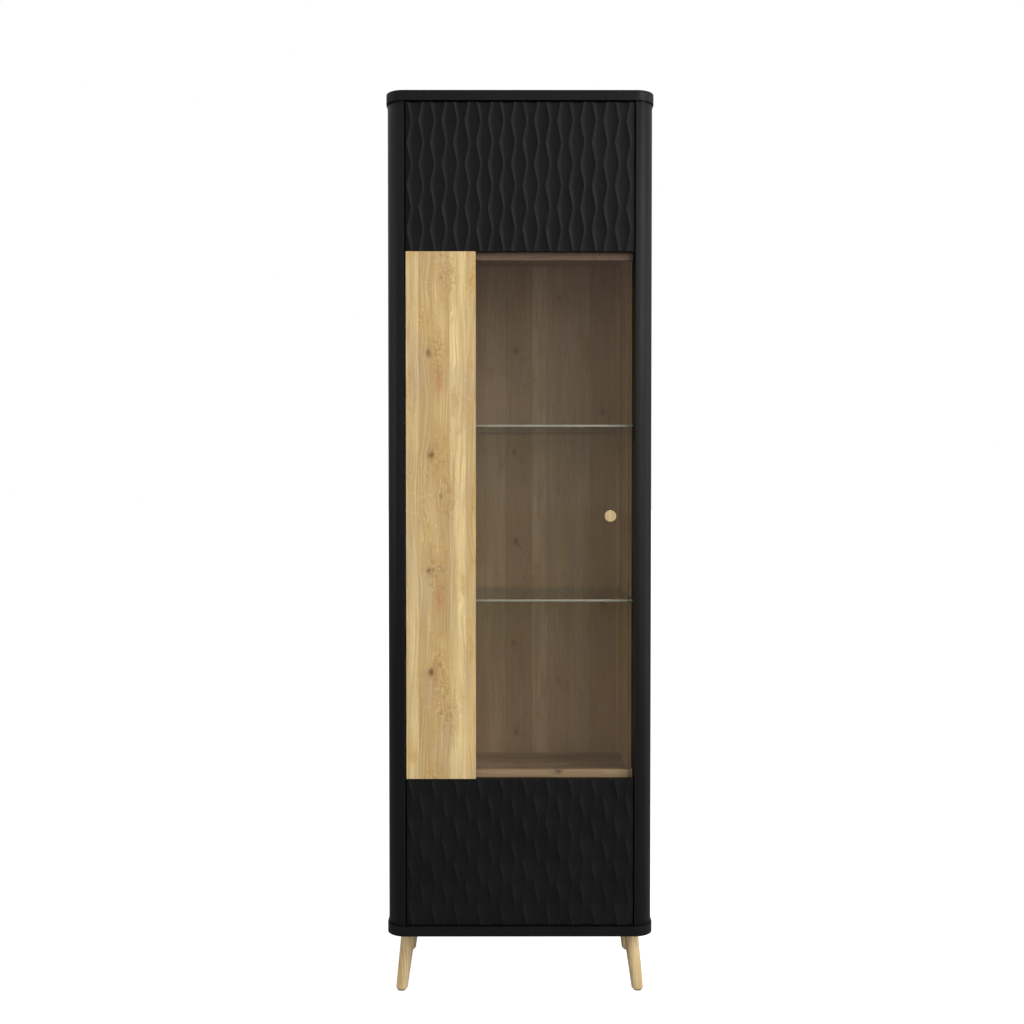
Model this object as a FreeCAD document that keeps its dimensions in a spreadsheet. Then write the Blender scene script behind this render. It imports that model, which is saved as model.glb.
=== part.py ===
import FreeCAD, Part
import math
import os

# A tall free-standing display cabinet on four splayed legs, in millimetres.
# +Z is up, the front faces -Y, +X is to the right of someone facing the cabinet.
# The origin lies on the floor under the middle of the whole object.
# Depths in this file are measured back from the front edge of the top panel.

DOC = FreeCAD.newDocument("display_cabinet")
SHEET = DOC.addObject("Spreadsheet::Sheet", "dims")

DIMENSIONS = [
    # carcass
    ("cabinet_width", 600),
    ("cabinet_depth", 380),
    ("body_height", 1887),
    ("cap_thickness", 22),
    ("cap_overhang", 3),
    ("cap_corner_radius", 41),
    ("post_flat_face", 2),
    ("outer_side_thickness", 22),
    ("inner_side_thickness", 18),
    ("post_depth", 80),
    ("fixed_shelf_thickness", 18),
    ("lower_compartment_height", 291),
    ("upper_compartment_height", 280),
    ("back_panel_thickness", 3),
    ("back_recess", 12),
    ("back_panel_margin", 14),
    ("back_panel_gap", 1),
    # glass shelves on their pins
    ("glass_shelf_thickness", 5),
    ("glass_shelf_end_gap", 1.5),
    ("glass_shelf_back_gap", 3),
    ("glass_shelf_rise", 418),
    ("glass_shelf_spacing", 396),
    ("shelf_pin_diameter", 5),
    ("shelf_pin_reach", 9),
    ("shelf_pin_embedment", 8),
    ("shelf_pin_inset", 45),
    # door
    ("door_gap", 3),
    ("door_thickness", 19),
    ("carved_height", 329),
    ("door_joint_gap", 1),
    ("oak_strip_width", 155),
    ("door_glass_thickness", 4),
    ("door_glass_right_inset", 4),
    ("door_glass_strip_overlap", 20),
    ("door_glass_rail_overlap", 12),
    ("door_rail_height", 60),
    ("door_rail_thickness", 18),
    ("door_rail_reveal", 16),
    ("glass_clearance", 0.3),
    ("clip_foot", 18),
    ("clip_lip", 12),
    ("clip_height", 20),
    ("clip_thickness", 2.5),
    ("bumper_diameter", 8),
    ("bumper_length", 3.7),
    ("bumper_clearance", 0.3),
    ("bumper_edge_gap", 1),
    ("bumper_inset", 40),
    # knob
    ("knob_diameter", 26),
    ("knob_neck_diameter", 13),
    ("knob_base_diameter", 18),
    ("knob_head_thickness", 9),
    ("knob_edge_round", 1.5),
    ("knob_flare", 2),
    ("knob_proud", 5),
    ("knob_edge_distance", 49),
    ("knob_height", 922),
    ("knob_screw_diameter", 4),
    ("knob_screw_engagement", 12),
    ("knob_screw_head_diameter", 8),
    ("knob_screw_head_thickness", 2.5),
    ("knob_washer_diameter", 13),
    ("knob_washer_thickness", 1),
    ("knob_hole_clearance", 1),
    # concealed hinges
    ("hinge_cup_diameter", 35),
    ("hinge_cup_edge_distance", 5),
    ("hinge_cup_depth", 11),
    ("hinge_cup_wall", 1),
    ("hinge_cup_rim", 3),
    ("hinge_flange_thickness", 1.5),
    ("hinge_flange_length", 56),
    ("hinge_flange_width", 14),
    ("hinge_flange_screw_inset", 5),
    ("hinge_end_distance", 110),
    ("hinge_middle_distance", 300),
    ("hinge_pivot_side", 14),
    ("hinge_pivot_depth", 27),
    ("hinge_pin_diameter", 3),
    ("hinge_pin_clearance", 0.05),
    ("hinge_arm_height", 18),
    ("hinge_arm_length", 62),
    ("hinge_arm_thickness", 8),
    ("hinge_slot_clearance", 0.4),
    ("hinge_slot_overcut", 1),
    ("hinge_eye_clearance", 1),
    ("hinge_link_height", 10),
    ("hinge_link_length", 17),
    ("hinge_link_thickness", 2.4),
    ("hinge_link_angle", 49),
    ("hinge_plate_length", 46),
    ("hinge_plate_width", 50),
    ("hinge_plate_screw_inset", 8),
    ("hinge_screw_diameter", 3.5),
    ("hinge_screw_length", 13),
    ("hinge_screw_head_diameter", 6.4),
    # legs
    ("leg_height", 150),
    ("leg_top_diameter", 35),
    ("leg_foot_diameter", 26),
    ("leg_splay", 6.6),
    ("leg_bolt_cover", 6),
    ("leg_side_inset", 45),
    ("leg_front_inset", 89),
    ("leg_foot_rounding", 3),
    ("leg_plate_size", 56),
    ("leg_plate_thickness", 2.5),
    ("leg_bolt_diameter", 8),
    ("leg_bolt_length", 40),
    ("glide_diameter", 19),
    ("glide_thickness", 3),
    # fasteners
    ("wood_screw_diameter", 4),
    ("wood_screw_head_diameter", 8),
    ("wood_screw_head_height", 2.4),
    ("plate_screw_length", 16),
    ("rail_screw_length", 28),
    ("confirmat_diameter", 6.4),
    ("confirmat_length", 50),
    ("confirmat_head_diameter", 10),
    ("confirmat_head_height", 3),
    ("dowel_diameter", 8),
    ("dowel_length", 35),
    ("dowel_cap_depth", 12),
    ("post_dowel_inset", 20),
    ("post_dowel_spacing", 25),
    ("side_dowel_inset", 50),
    ("board_screw_inset", 60),
    ("cam_diameter", 15),
    ("cam_thickness", 13.5),
    ("cam_drop", 34),
    ("cam_bolt_diameter", 6),
    ("cam_bolt_embedment", 11),
    ("nail_diameter", 1.4),
    ("nail_length", 20),
    ("nail_head_diameter", 3.2),
    ("nail_head_thickness", 0.8),
    # bracket that ties the cabinet to a wall
    ("bracket_width", 40),
    ("bracket_height", 70),
    ("bracket_thickness", 2),
    ("bracket_foot", 15),
    ("bracket_hole_diameter", 6),
    ("bracket_hole_rise", 40),
]

for row, (alias, value) in enumerate(DIMENSIONS, start=1):
    SHEET.set(f"A{row}", alias)
    SHEET.set(f"B{row}", str(value))
    SHEET.setAlias(f"B{row}", alias)
DOC.recompute()


def size(name):
    """A driving dimension as a plain number, for the pieces that are set in code."""
    return float(SHEET.get(name))


# ---------------------------------------------------------------- expressions
# Lengths shared by several pieces, written once as expressions of the sheet.

def at_depth(depth):
    return f"({depth}) - (dims.cabinet_depth - dims.knob_proud) / 2"


HALF_WIDTH = "dims.cabinet_width / 2"
BODY_HALF = f"({HALF_WIDTH} - dims.cap_overhang)"
INNER_HALF = f"({BODY_HALF} - dims.outer_side_thickness - dims.inner_side_thickness)"
INNER_BOARD_MID = f"({INNER_HALF} + dims.inner_side_thickness / 2)"
OUTER_BOARD_MID = f"({BODY_HALF} - dims.outer_side_thickness / 2)"
SIDES_BOTTOM = "(dims.leg_height + dims.cap_thickness)"
SIDES_TOP = "(dims.leg_height + dims.body_height - dims.cap_thickness)"
SIDES_HEIGHT = "(dims.body_height - 2 * dims.cap_thickness)"
BOARDS_FRONT = "(dims.cap_overhang + dims.post_depth)"
CARCASS_BACK = "(dims.cabinet_depth - dims.back_recess - dims.back_panel_thickness)"
LOWER_SHELF = f"({SIDES_BOTTOM} + dims.lower_compartment_height)"
LOWER_SHELF_TOP = f"({LOWER_SHELF} + dims.fixed_shelf_thickness)"
UPPER_SHELF = f"({SIDES_TOP} - dims.upper_compartment_height - dims.fixed_shelf_thickness)"

DOOR_HALF = f"({INNER_HALF} - dims.door_gap)"
DOOR_BOTTOM = f"({SIDES_BOTTOM} + dims.door_gap)"
DOOR_TOP = f"({SIDES_TOP} - dims.door_gap)"
DOOR_FRONT = "dims.cap_overhang"
DOOR_BACK = f"({DOOR_FRONT} + dims.door_thickness)"
LOWER_JOINT = f"({DOOR_BOTTOM} + dims.carved_height)"
UPPER_JOINT = f"({DOOR_TOP} - dims.carved_height)"
STRIP_RIGHT = f"(-{DOOR_HALF} + dims.oak_strip_width)"
GLASS_LEFT = f"({STRIP_RIGHT} - dims.door_glass_strip_overlap)"
GLASS_RIGHT = f"({DOOR_HALF} - dims.door_glass_right_inset)"
GLASS_BACK = f"({DOOR_BACK} + dims.door_glass_thickness)"
RAIL_BACK = f"({DOOR_BACK} + dims.door_rail_thickness)"
SHELF_FRONT = f"({RAIL_BACK} + dims.bumper_clearance + dims.bumper_length)"
SHELF_DEPTH = f"({CARCASS_BACK} - {SHELF_FRONT})"
KNOB_X = f"({GLASS_RIGHT} - dims.knob_edge_distance)"
KNOB_Z = f"({SIDES_BOTTOM} + dims.knob_height)"
CUP_X = f"(-{DOOR_HALF} + dims.hinge_cup_edge_distance + dims.hinge_cup_diameter / 2)"
PIVOT_X = f"(-{DOOR_HALF} + dims.hinge_pivot_side)"
PIVOT_DEPTH = f"({DOOR_FRONT} + dims.hinge_pivot_depth)"
PLATE_STANDOFF = f"({INNER_HALF} + {PIVOT_X} - dims.hinge_arm_thickness / 2)"
HINGE_HEIGHTS = [
    f"({DOOR_BOTTOM} + dims.hinge_end_distance)",
    f"({LOWER_JOINT} + dims.hinge_middle_distance)",
    f"({UPPER_JOINT} - dims.hinge_middle_distance)",
    f"({DOOR_TOP} - dims.hinge_end_distance)",
]
LEG_X = f"({HALF_WIDTH} - dims.leg_side_inset)"
LEG_DEPTHS = ["dims.leg_front_inset", "(dims.cabinet_depth - dims.leg_front_inset)"]
PLATE_BOTTOM = "(dims.leg_height - dims.leg_plate_thickness)"

# Shares of a length at which fasteners sit, and other plain ratios.
SHELF_NAIL_SHARES = (-0.75, -0.25, 0.25, 0.75)
PLATE_SCREW_SHARES = (-0.36, 0.36)
PANEL_SCREW_SHARES = (-0.88, -0.3, 0.3, 0.88)
STRIP_SCREW_SHARES = (0.2, 0.7)
INTO_PANEL_SHARE = 0.6
INTO_STRIP_SHARE = 0.55
HINGE_SCREW_SHARE = 0.4
LEG_BLANK_SHARE = 1.1
TAPER = 0.001  # keeps a straight turning a cone, which can't have two equal ends

# Directions in which a cylinder can point, as rotations of its own Z axis.
UP = FreeCAD.Rotation()
DOWN = FreeCAD.Rotation(FreeCAD.Vector(1, 0, 0), 180)
BACKWARD = FreeCAD.Rotation(FreeCAD.Vector(1, 0, 0), -90)
FORWARD = FreeCAD.Rotation(FreeCAD.Vector(1, 0, 0), 90)
RIGHTWARD = FreeCAD.Rotation(FreeCAD.Vector(0, 1, 0), 90)
LEFTWARD = FreeCAD.Rotation(FreeCAD.Vector(0, 1, 0), -90)

SIDES = (("left", "-1", RIGHTWARD, LEFTWARD), ("right", "1", LEFTWARD, RIGHTWARD))
NODES = {}


# -------------------------------------------------------------------- helpers

def place(obj, corner, rotation=UP):
    """Turn an object and tie its base point to expressions of the sheet."""
    obj.Placement = FreeCAD.Placement(FreeCAD.Vector(), rotation)
    for axis, value in zip("xyz", corner):
        obj.setExpression(f"Placement.Base.{axis}", value)
    return obj


def box(name, sizes, corner, rotation=UP):
    """A board: its sizes along X, Y and Z and its lowest corner."""
    obj = DOC.addObject("Part::Box", name)
    for prop, value in zip(("Length", "Width", "Height"), sizes):
        obj.setExpression(prop, value)
    return place(obj, corner, rotation)


def cylinder(name, diameter, length, base, rotation=UP):
    obj = DOC.addObject("Part::Cylinder", name)
    obj.setExpression("Radius", f"({diameter}) / 2")
    obj.setExpression("Height", length)
    return place(obj, base, rotation)


def cone(name, bottom, top, length, base, rotation=UP):
    obj = DOC.addObject("Part::Cone", name)
    obj.setExpression("Radius1", f"({bottom}) / 2")
    obj.setExpression("Radius2", f"({top}) / 2")
    obj.setExpression("Height", length)
    return place(obj, base, rotation)


def group(name, members):
    obj = DOC.addObject("Part::Compound", name)
    obj.Links = members
    return obj


def fuse(name, members):
    obj = DOC.addObject("Part::MultiFuse", name)
    obj.Shapes = members
    obj.Refine = True
    return obj


def cut(name, body, tools):
    obj = DOC.addObject("Part::Cut", name)
    obj.Base = body
    obj.Tool = tools[0] if len(tools) == 1 else group(f"{name}_tools", tools)
    return obj


def fillet(name, body, radius, chosen):
    """Round the edges of a body for which chosen(edge) is true."""
    DOC.recompute()
    obj = DOC.addObject("Part::Fillet", name)
    obj.Base = body
    picked = [n for n, edge in enumerate(body.Shape.Edges, start=1) if chosen(edge)]
    obj.Edges = [(n, radius, radius) for n in picked]
    return obj


def node(name, obj):
    """Name the finished piece and keep it for export."""
    obj.Label = name
    NODES[name] = obj
    return obj


def screw(name, base, rotation, diameter, length, head_diameter, head_height):
    """A countersunk screw whose head is flush with the surface at its base point."""
    head = cone(f"{name}_head", head_diameter, diameter, head_height, base, rotation)
    shank = cylinder(f"{name}_shank", diameter, length, base, rotation)
    return fuse(name, [head, shank])


def wood_screw(name, base, rotation, length):
    return screw(name, base, rotation, "dims.wood_screw_diameter", length,
                 "dims.wood_screw_head_diameter", "dims.wood_screw_head_height")


def confirmat(name, base, rotation):
    return screw(name, base, rotation, "dims.confirmat_diameter", "dims.confirmat_length",
                 "dims.confirmat_head_diameter", "dims.confirmat_head_height")


# -------------------------------------------------------- fasteners of the carcass

def make_dowels():
    """Dowels that hold the posts and the outer sides between the two caps."""
    spots = {
        "post_front": (f"({BODY_HALF} - {INNER_HALF}) / 2 + {INNER_HALF}", "dims.post_dowel_inset"),
        "post_rear": (f"({BODY_HALF} - {INNER_HALF}) / 2 + {INNER_HALF}", "dims.post_dowel_inset + dims.post_dowel_spacing"),
        "side_front": (OUTER_BOARD_MID, f"{BOARDS_FRONT} + dims.side_dowel_inset"),
        "side_rear": (OUTER_BOARD_MID, "dims.cabinet_depth - dims.side_dowel_inset"),
    }
    rows = {}
    levels = (
        ("bottom", f"{SIDES_BOTTOM} - dims.dowel_cap_depth"),
        ("top", f"{SIDES_TOP} + dims.dowel_cap_depth - dims.dowel_length"),
    )
    for level, base in levels:
        for side, sign, _, _ in SIDES:
            rows[level, side] = [
                cylinder(f"dowel_{level}_{side}_{spot}", "dims.dowel_diameter",
                         "dims.dowel_length", (f"{sign} * ({x})", at_depth(depth), base))
                for spot, (x, depth) in spots.items()
            ]
    return rows


def make_post_dowels():
    """Dowels that pin each front post to the inner side behind it."""
    rows = {}
    for side, sign, _, _ in SIDES:
        rows[side] = [
            cylinder(f"post_dowel_{side}_{step}", "dims.dowel_diameter", "dims.dowel_length",
                     (f"{sign} * {INNER_BOARD_MID}",
                      at_depth(f"{BOARDS_FRONT} - dims.dowel_length / 2"),
                      f"{SIDES_BOTTOM} + {SIDES_HEIGHT} * {step} / 5"), BACKWARD)
            for step in range(1, 5)
        ]
    return rows


BOARD_SCREW_DEPTHS = (f"{BOARDS_FRONT} + dims.board_screw_inset",
                      f"{CARCASS_BACK} - dims.board_screw_inset")


def make_bottom_confirmats():
    rows = {}
    for side, sign, _, _ in SIDES:
        rows[side] = [
            confirmat(f"bottom_confirmat_{side}_{n}",
                      (f"{sign} * {INNER_BOARD_MID}", at_depth(depth), "dims.leg_height"), UP)
            for n, depth in enumerate(BOARD_SCREW_DEPTHS)
        ]
    return rows


def make_shelf_confirmats():
    """Screws driven through the inner sides into the ends of the fixed shelves."""
    rows = {}
    for side, sign, inward, _ in SIDES:
        for level, shelf in (("lower", LOWER_SHELF), ("upper", UPPER_SHELF)):
            rows[level, side] = [
                confirmat(f"shelf_confirmat_{level}_{side}_{n}",
                          (f"{sign} * ({INNER_HALF} + dims.inner_side_thickness)",
                           at_depth(depth), f"{shelf} + dims.fixed_shelf_thickness / 2"), inward)
                for n, depth in enumerate(BOARD_SCREW_DEPTHS)
            ]
    return rows


def make_cams():
    """Cam locks in the inner sides, and the bolts that they pull down."""
    cams = {}
    bolts = {}
    for side, sign, _, outward in SIDES:
        cams[side] = []
        bolts[side] = []
        for n, depth in enumerate(BOARD_SCREW_DEPTHS):
            centre = f"{SIDES_TOP} - dims.cam_drop"
            cams[side].append(cylinder(
                f"cam_{side}_{n}", "dims.cam_diameter", "dims.cam_thickness",
                (f"{sign} * {INNER_HALF}", at_depth(depth), centre), outward))
            bolts[side].append(cylinder(
                f"cam_bolt_{side}_{n}", "dims.cam_bolt_diameter",
                "dims.cam_drop - dims.cam_diameter / 2 + dims.cam_bolt_embedment",
                (f"{sign} * {INNER_BOARD_MID}", at_depth(depth),
                 f"{centre} + dims.cam_diameter / 2")))
    return cams, bolts


def make_nails():
    """Nails through the back panel into the inner sides and the fixed shelves."""
    head_back = f"{CARCASS_BACK} + dims.back_panel_thickness + dims.nail_head_thickness"

    def nail(name, x, z):
        base = (x, at_depth(head_back), z)
        head = cylinder(f"{name}_head", "dims.nail_head_diameter",
                        "dims.nail_head_thickness", base, FORWARD)
        shank = cylinder(f"{name}_shank", "dims.nail_diameter", "dims.nail_length", base, FORWARD)
        return fuse(name, [head, shank])

    rows = {}
    nails_per_side = 11
    for side, sign, _, _ in SIDES:
        rows[side] = [
            nail(f"nail_{side}_{n}", f"{sign} * {INNER_BOARD_MID}",
                 f"{SIDES_BOTTOM} + {SIDES_HEIGHT} * {n + 0.5} / {nails_per_side}")
            for n in range(nails_per_side)
        ]
    for level, shelf in (("lower", LOWER_SHELF), ("upper", UPPER_SHELF)):
        rows[level] = [
            nail(f"nail_{level}_{n}", f"{INNER_HALF} * {share}",
                 f"{shelf} + dims.fixed_shelf_thickness / 2")
            for n, share in enumerate(SHELF_NAIL_SHARES)
        ]
    return rows


# -------------------------------------------------------------------- carcass

def make_cap(name, bottom, holes):
    """A top or bottom panel: its two front corners are rounded in plan."""
    board = box(f"{name}_board", ("dims.cabinet_width", "dims.cabinet_depth", "dims.cap_thickness"),
                (f"-{HALF_WIDTH}", at_depth("0"), bottom))

    def front_corner(edge):
        upright = abs(edge.BoundBox.ZLength - size("cap_thickness")) < 0.01
        return upright and edge.BoundBox.YMax < 0

    rounded = fillet(f"{name}_rounded", board, size("cap_corner_radius"), front_corner)
    node(name, cut(f"{name}_drilled", rounded, holes))


def make_post(side, holes):
    """A front post, rounded in plan like the caps above and below it."""
    left = f"-{BODY_HALF}" if side == "left" else INNER_HALF
    board = box(f"post_{side}_board",
                (f"({BODY_HALF} - {INNER_HALF})", "dims.post_depth", SIDES_HEIGHT),
                (left, at_depth("dims.cap_overhang"), SIDES_BOTTOM))
    outer = size("cabinet_width") / 2 - size("cap_overhang")

    def outer_front_corner(edge):
        bounds = edge.BoundBox
        at_front = bounds.YMax < board.Shape.BoundBox.YMin + 0.01
        return at_front and abs(abs(bounds.Center.x) - outer) < 0.01 and bounds.XLength < 0.01

    width = size("outer_side_thickness") + size("inner_side_thickness")
    radius = min(size("cap_corner_radius") - size("cap_overhang"), width - size("post_flat_face"))
    rounded = fillet(f"post_{side}_rounded", board, radius, outer_front_corner)
    node(f"front_post_{side}", cut(f"post_{side}_drilled", rounded, holes))


def make_outer_side(side, holes):
    left = f"-{BODY_HALF}" if side == "left" else f"{BODY_HALF} - dims.outer_side_thickness"
    board = box(f"outer_{side}_board",
                ("dims.outer_side_thickness", f"dims.cabinet_depth - {BOARDS_FRONT}", SIDES_HEIGHT),
                (left, at_depth(BOARDS_FRONT), SIDES_BOTTOM))
    node(f"side_outer_{side}", cut(f"outer_{side}_drilled", board, holes))


def make_inner_side(side, holes):
    left = f"-{INNER_HALF} - dims.inner_side_thickness" if side == "left" else INNER_HALF
    board = box(f"inner_{side}_board",
                ("dims.inner_side_thickness", f"{CARCASS_BACK} - {BOARDS_FRONT}", SIDES_HEIGHT),
                (left, at_depth(BOARDS_FRONT), SIDES_BOTTOM))
    node(f"side_inner_{side}", cut(f"inner_{side}_drilled", board, holes))


def make_fixed_shelf(level, bottom, holes):
    board = box(f"fixed_{level}_board",
                (f"2 * {INNER_HALF}", SHELF_DEPTH, "dims.fixed_shelf_thickness"),
                (f"-{INNER_HALF}", at_depth(SHELF_FRONT), bottom))
    node(f"fixed_shelf_{level}", cut(f"fixed_{level}_drilled", board, holes))


def make_back_panel(holes):
    half = f"({INNER_HALF} + dims.back_panel_margin)"
    board = box("back_board",
                (f"2 * {half}", "dims.back_panel_thickness", f"{SIDES_HEIGHT} - 2 * dims.back_panel_gap"),
                (f"-{half}", at_depth(CARCASS_BACK), f"{SIDES_BOTTOM} + dims.back_panel_gap"))
    node("back_panel", cut("back_drilled", board, holes))


def make_glass_shelf(level, bottom):
    node(f"glass_shelf_{level}", box(
        f"glass_{level}",
        (f"2 * ({INNER_HALF} - dims.glass_shelf_end_gap)",
         f"{SHELF_DEPTH} - dims.glass_shelf_back_gap", "dims.glass_shelf_thickness"),
        (f"-{INNER_HALF} + dims.glass_shelf_end_gap", at_depth(SHELF_FRONT), bottom)))


def make_shelf_pins(level, bottom):
    """Four pins under one glass shelf; its weight rests on their upper side."""
    rows = {}
    depths = (f"{BOARDS_FRONT} + dims.shelf_pin_inset", f"{CARCASS_BACK} - dims.shelf_pin_inset")
    for side, sign, inward, _ in SIDES:
        start = f"{sign} * ({INNER_HALF} + dims.shelf_pin_embedment)"
        rows[side] = [
            cylinder(f"pin_{level}_{side}_{n}", "dims.shelf_pin_diameter",
                     "dims.shelf_pin_embedment + dims.shelf_pin_reach",
                     (start, at_depth(depth), f"{bottom} - dims.shelf_pin_diameter / 2"), inward)
            for n, depth in enumerate(depths)
        ]
    return rows


# ----------------------------------------------------------------------- legs

def make_legs():
    """Tapered legs that lean outwards and forwards or backwards from their plates."""
    plates = []
    bolts = []
    glides = []
    screws = []
    reach = "dims.leg_height * tan(dims.leg_splay)"
    names = (("front", LEG_DEPTHS[0], -1), ("back", LEG_DEPTHS[1], 1))
    for row, depth, away in names:
        for side, sign, _, _ in SIDES:
            tag = f"{row}_{side}"
            outward = float(sign)
            # The leg's own axis, from its foot up to the middle of its plate.
            slope = math.tan(math.radians(size("leg_splay")))
            axis = FreeCAD.Vector(-outward * slope, -away * slope, 1)
            lean = FreeCAD.Rotation(FreeCAD.Vector(0, 0, 1), axis)
            foot = (f"{sign} * ({LEG_X} + {reach})", at_depth(f"{depth} + {away} * {reach}"), "0")
            shaft = cone(f"leg_{tag}_shaft", "dims.leg_foot_diameter", "dims.leg_top_diameter",
                         f"dims.leg_height * {LEG_BLANK_SHARE}", foot, lean)
            slab = box(f"leg_{tag}_slab", ("dims.leg_height * 2", "dims.leg_height * 2",
                                           f"{PLATE_BOTTOM} - dims.glide_thickness"),
                       (f"{sign} * {LEG_X} - dims.leg_height", at_depth(f"{depth} - dims.leg_height"),
                        "dims.glide_thickness"))
            trimmed = DOC.addObject("Part::Common", f"leg_{tag}_trimmed")
            trimmed.Base = shaft
            trimmed.Tool = slab
            lowest = size("glide_thickness") + 0.01
            rounded = fillet(f"leg_{tag}_rounded", trimmed, size("leg_foot_rounding"),
                             lambda edge, top=lowest: edge.BoundBox.ZMax < top)
            bolt_reach = "(dims.leg_bolt_length - dims.cap_thickness + dims.leg_bolt_cover)"
            bolts.append(cylinder(f"leg_{tag}_bolt", "dims.leg_bolt_diameter", "dims.leg_bolt_length",
                                  (f"{sign} * {LEG_X}", at_depth(depth),
                                   f"dims.leg_height - {bolt_reach}")))
            node(f"leg_{tag}", cut(f"leg_{tag}_drilled", rounded, [bolts[-1]]))
            glides.append(cylinder(f"leg_{tag}_glide", "dims.glide_diameter", "dims.glide_thickness",
                                   foot))
            plate = box(f"leg_{tag}_plate_blank",
                        ("dims.leg_plate_size", "dims.leg_plate_size", "dims.leg_plate_thickness"),
                        (f"{sign} * {LEG_X} - dims.leg_plate_size / 2",
                         at_depth(f"{depth} - dims.leg_plate_size / 2"), PLATE_BOTTOM))
            corner_screws = []
            for dx in PLATE_SCREW_SHARES:
                for dy in PLATE_SCREW_SHARES:
                    corner_screws.append(wood_screw(
                        f"leg_{tag}_screw_{len(corner_screws)}",
                        (f"{sign} * {LEG_X} + {dx} * dims.leg_plate_size",
                         at_depth(f"{depth} + {dy} * dims.leg_plate_size"), PLATE_BOTTOM),
                        UP, "dims.plate_screw_length"))
            screws += corner_screws
            plates.append(cut(f"leg_{tag}_plate", plate, corner_screws + [bolts[-1]]))
    node("leg_plates", group("leg_plates_group", plates))
    node("leg_plate_screws", group("leg_screws_group", screws))
    node("leg_hanger_bolts", group("leg_bolts_group", bolts))
    node("leg_glides", group("leg_glides_group", glides))
    return screws + bolts


# ----------------------------------------------------------------------- door

def make_rail_screws():
    """Screws through each rail: into the carved panel, and into the oak strip."""
    rows = {}
    for level, joint, away in (("lower", LOWER_JOINT, -1), ("upper", UPPER_JOINT, 1)):
        into_panel = f"{joint} + {away} * (dims.door_rail_height - dims.door_rail_reveal) * {INTO_PANEL_SHARE}"
        into_strip = f"{joint} - {away} * dims.door_rail_reveal * {INTO_STRIP_SHARE}"
        spots = {
            "carved": [(f"{DOOR_HALF} * {share}", into_panel) for share in PANEL_SCREW_SHARES],
            "strip": [(f"-{DOOR_HALF} + dims.oak_strip_width * {share}", into_strip)
                      for share in STRIP_SCREW_SHARES],
        }
        for board, places in spots.items():
            rows[level, board] = [
                wood_screw(f"rail_screw_{level}_{board}_{n}", (x, at_depth(RAIL_BACK), z), FORWARD,
                           "dims.rail_screw_length")
                for n, (x, z) in enumerate(places)
            ]
    return rows


def make_carved_panel(level, bottom, tools):
    """The board of a carved panel; its outer face reaches the tops of the carving."""
    board = box(f"carved_{level}_board",
                (f"2 * {DOOR_HALF}", "dims.door_thickness", "dims.carved_height"),
                (f"-{DOOR_HALF}", at_depth(DOOR_FRONT), bottom))
    node(f"door_panel_{level}", cut(f"carved_{level}_drilled", board, tools))


def make_oak_strip(tools):
    board = box("strip_board",
                ("dims.oak_strip_width", "dims.door_thickness",
                 f"{UPPER_JOINT} - {LOWER_JOINT} - 2 * dims.door_joint_gap"),
                (f"-{DOOR_HALF}", at_depth(DOOR_FRONT), f"{LOWER_JOINT} + dims.door_joint_gap"))
    node("door_oak_strip", cut("strip_drilled", board, tools))


def make_door_glass():
    """The pane behind the panels: its top and bottom edges lie in the rails' rebates."""
    bottom = f"{LOWER_JOINT} - dims.door_glass_rail_overlap"
    top = f"{UPPER_JOINT} + dims.door_glass_rail_overlap"
    pane = box("glass_pane", (f"{GLASS_RIGHT} - {GLASS_LEFT}", "dims.door_glass_thickness",
                              f"{top} - ({bottom})"),
               (GLASS_LEFT, at_depth(DOOR_BACK), bottom))
    hole = cylinder("glass_knob_hole", "dims.knob_screw_diameter + dims.knob_hole_clearance",
                    "dims.door_glass_thickness", (KNOB_X, at_depth(DOOR_BACK), KNOB_Z), BACKWARD)
    node("door_glass", cut("glass_drilled", pane, [hole]))


def make_door_rail(level, screws):
    """A rail behind a joint of the door, rebated at the front for the pane."""
    rebate_height = "(dims.door_rail_reveal + dims.door_glass_rail_overlap + dims.glass_clearance)"
    if level == "lower":
        rail_bottom = f"({LOWER_JOINT} + dims.door_rail_reveal - dims.door_rail_height)"
        rebate_bottom = f"({LOWER_JOINT} + dims.door_rail_reveal - {rebate_height})"
    else:
        rail_bottom = f"({UPPER_JOINT} - dims.door_rail_reveal)"
        rebate_bottom = rail_bottom
    board = box(f"rail_{level}_board",
                (f"2 * {DOOR_HALF}", "dims.door_rail_thickness", "dims.door_rail_height"),
                (f"-{DOOR_HALF}", at_depth(DOOR_BACK), rail_bottom))
    rebate = box(f"rail_{level}_rebate",
                 (f"{DOOR_HALF} - {GLASS_LEFT} + dims.glass_clearance",
                  "dims.door_glass_thickness + dims.glass_clearance", rebate_height),
                 (f"{GLASS_LEFT} - dims.glass_clearance", at_depth(DOOR_BACK), rebate_bottom))
    node(f"door_rail_{level}", cut(f"rail_{level}_cut", board, [rebate] + screws))


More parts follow.
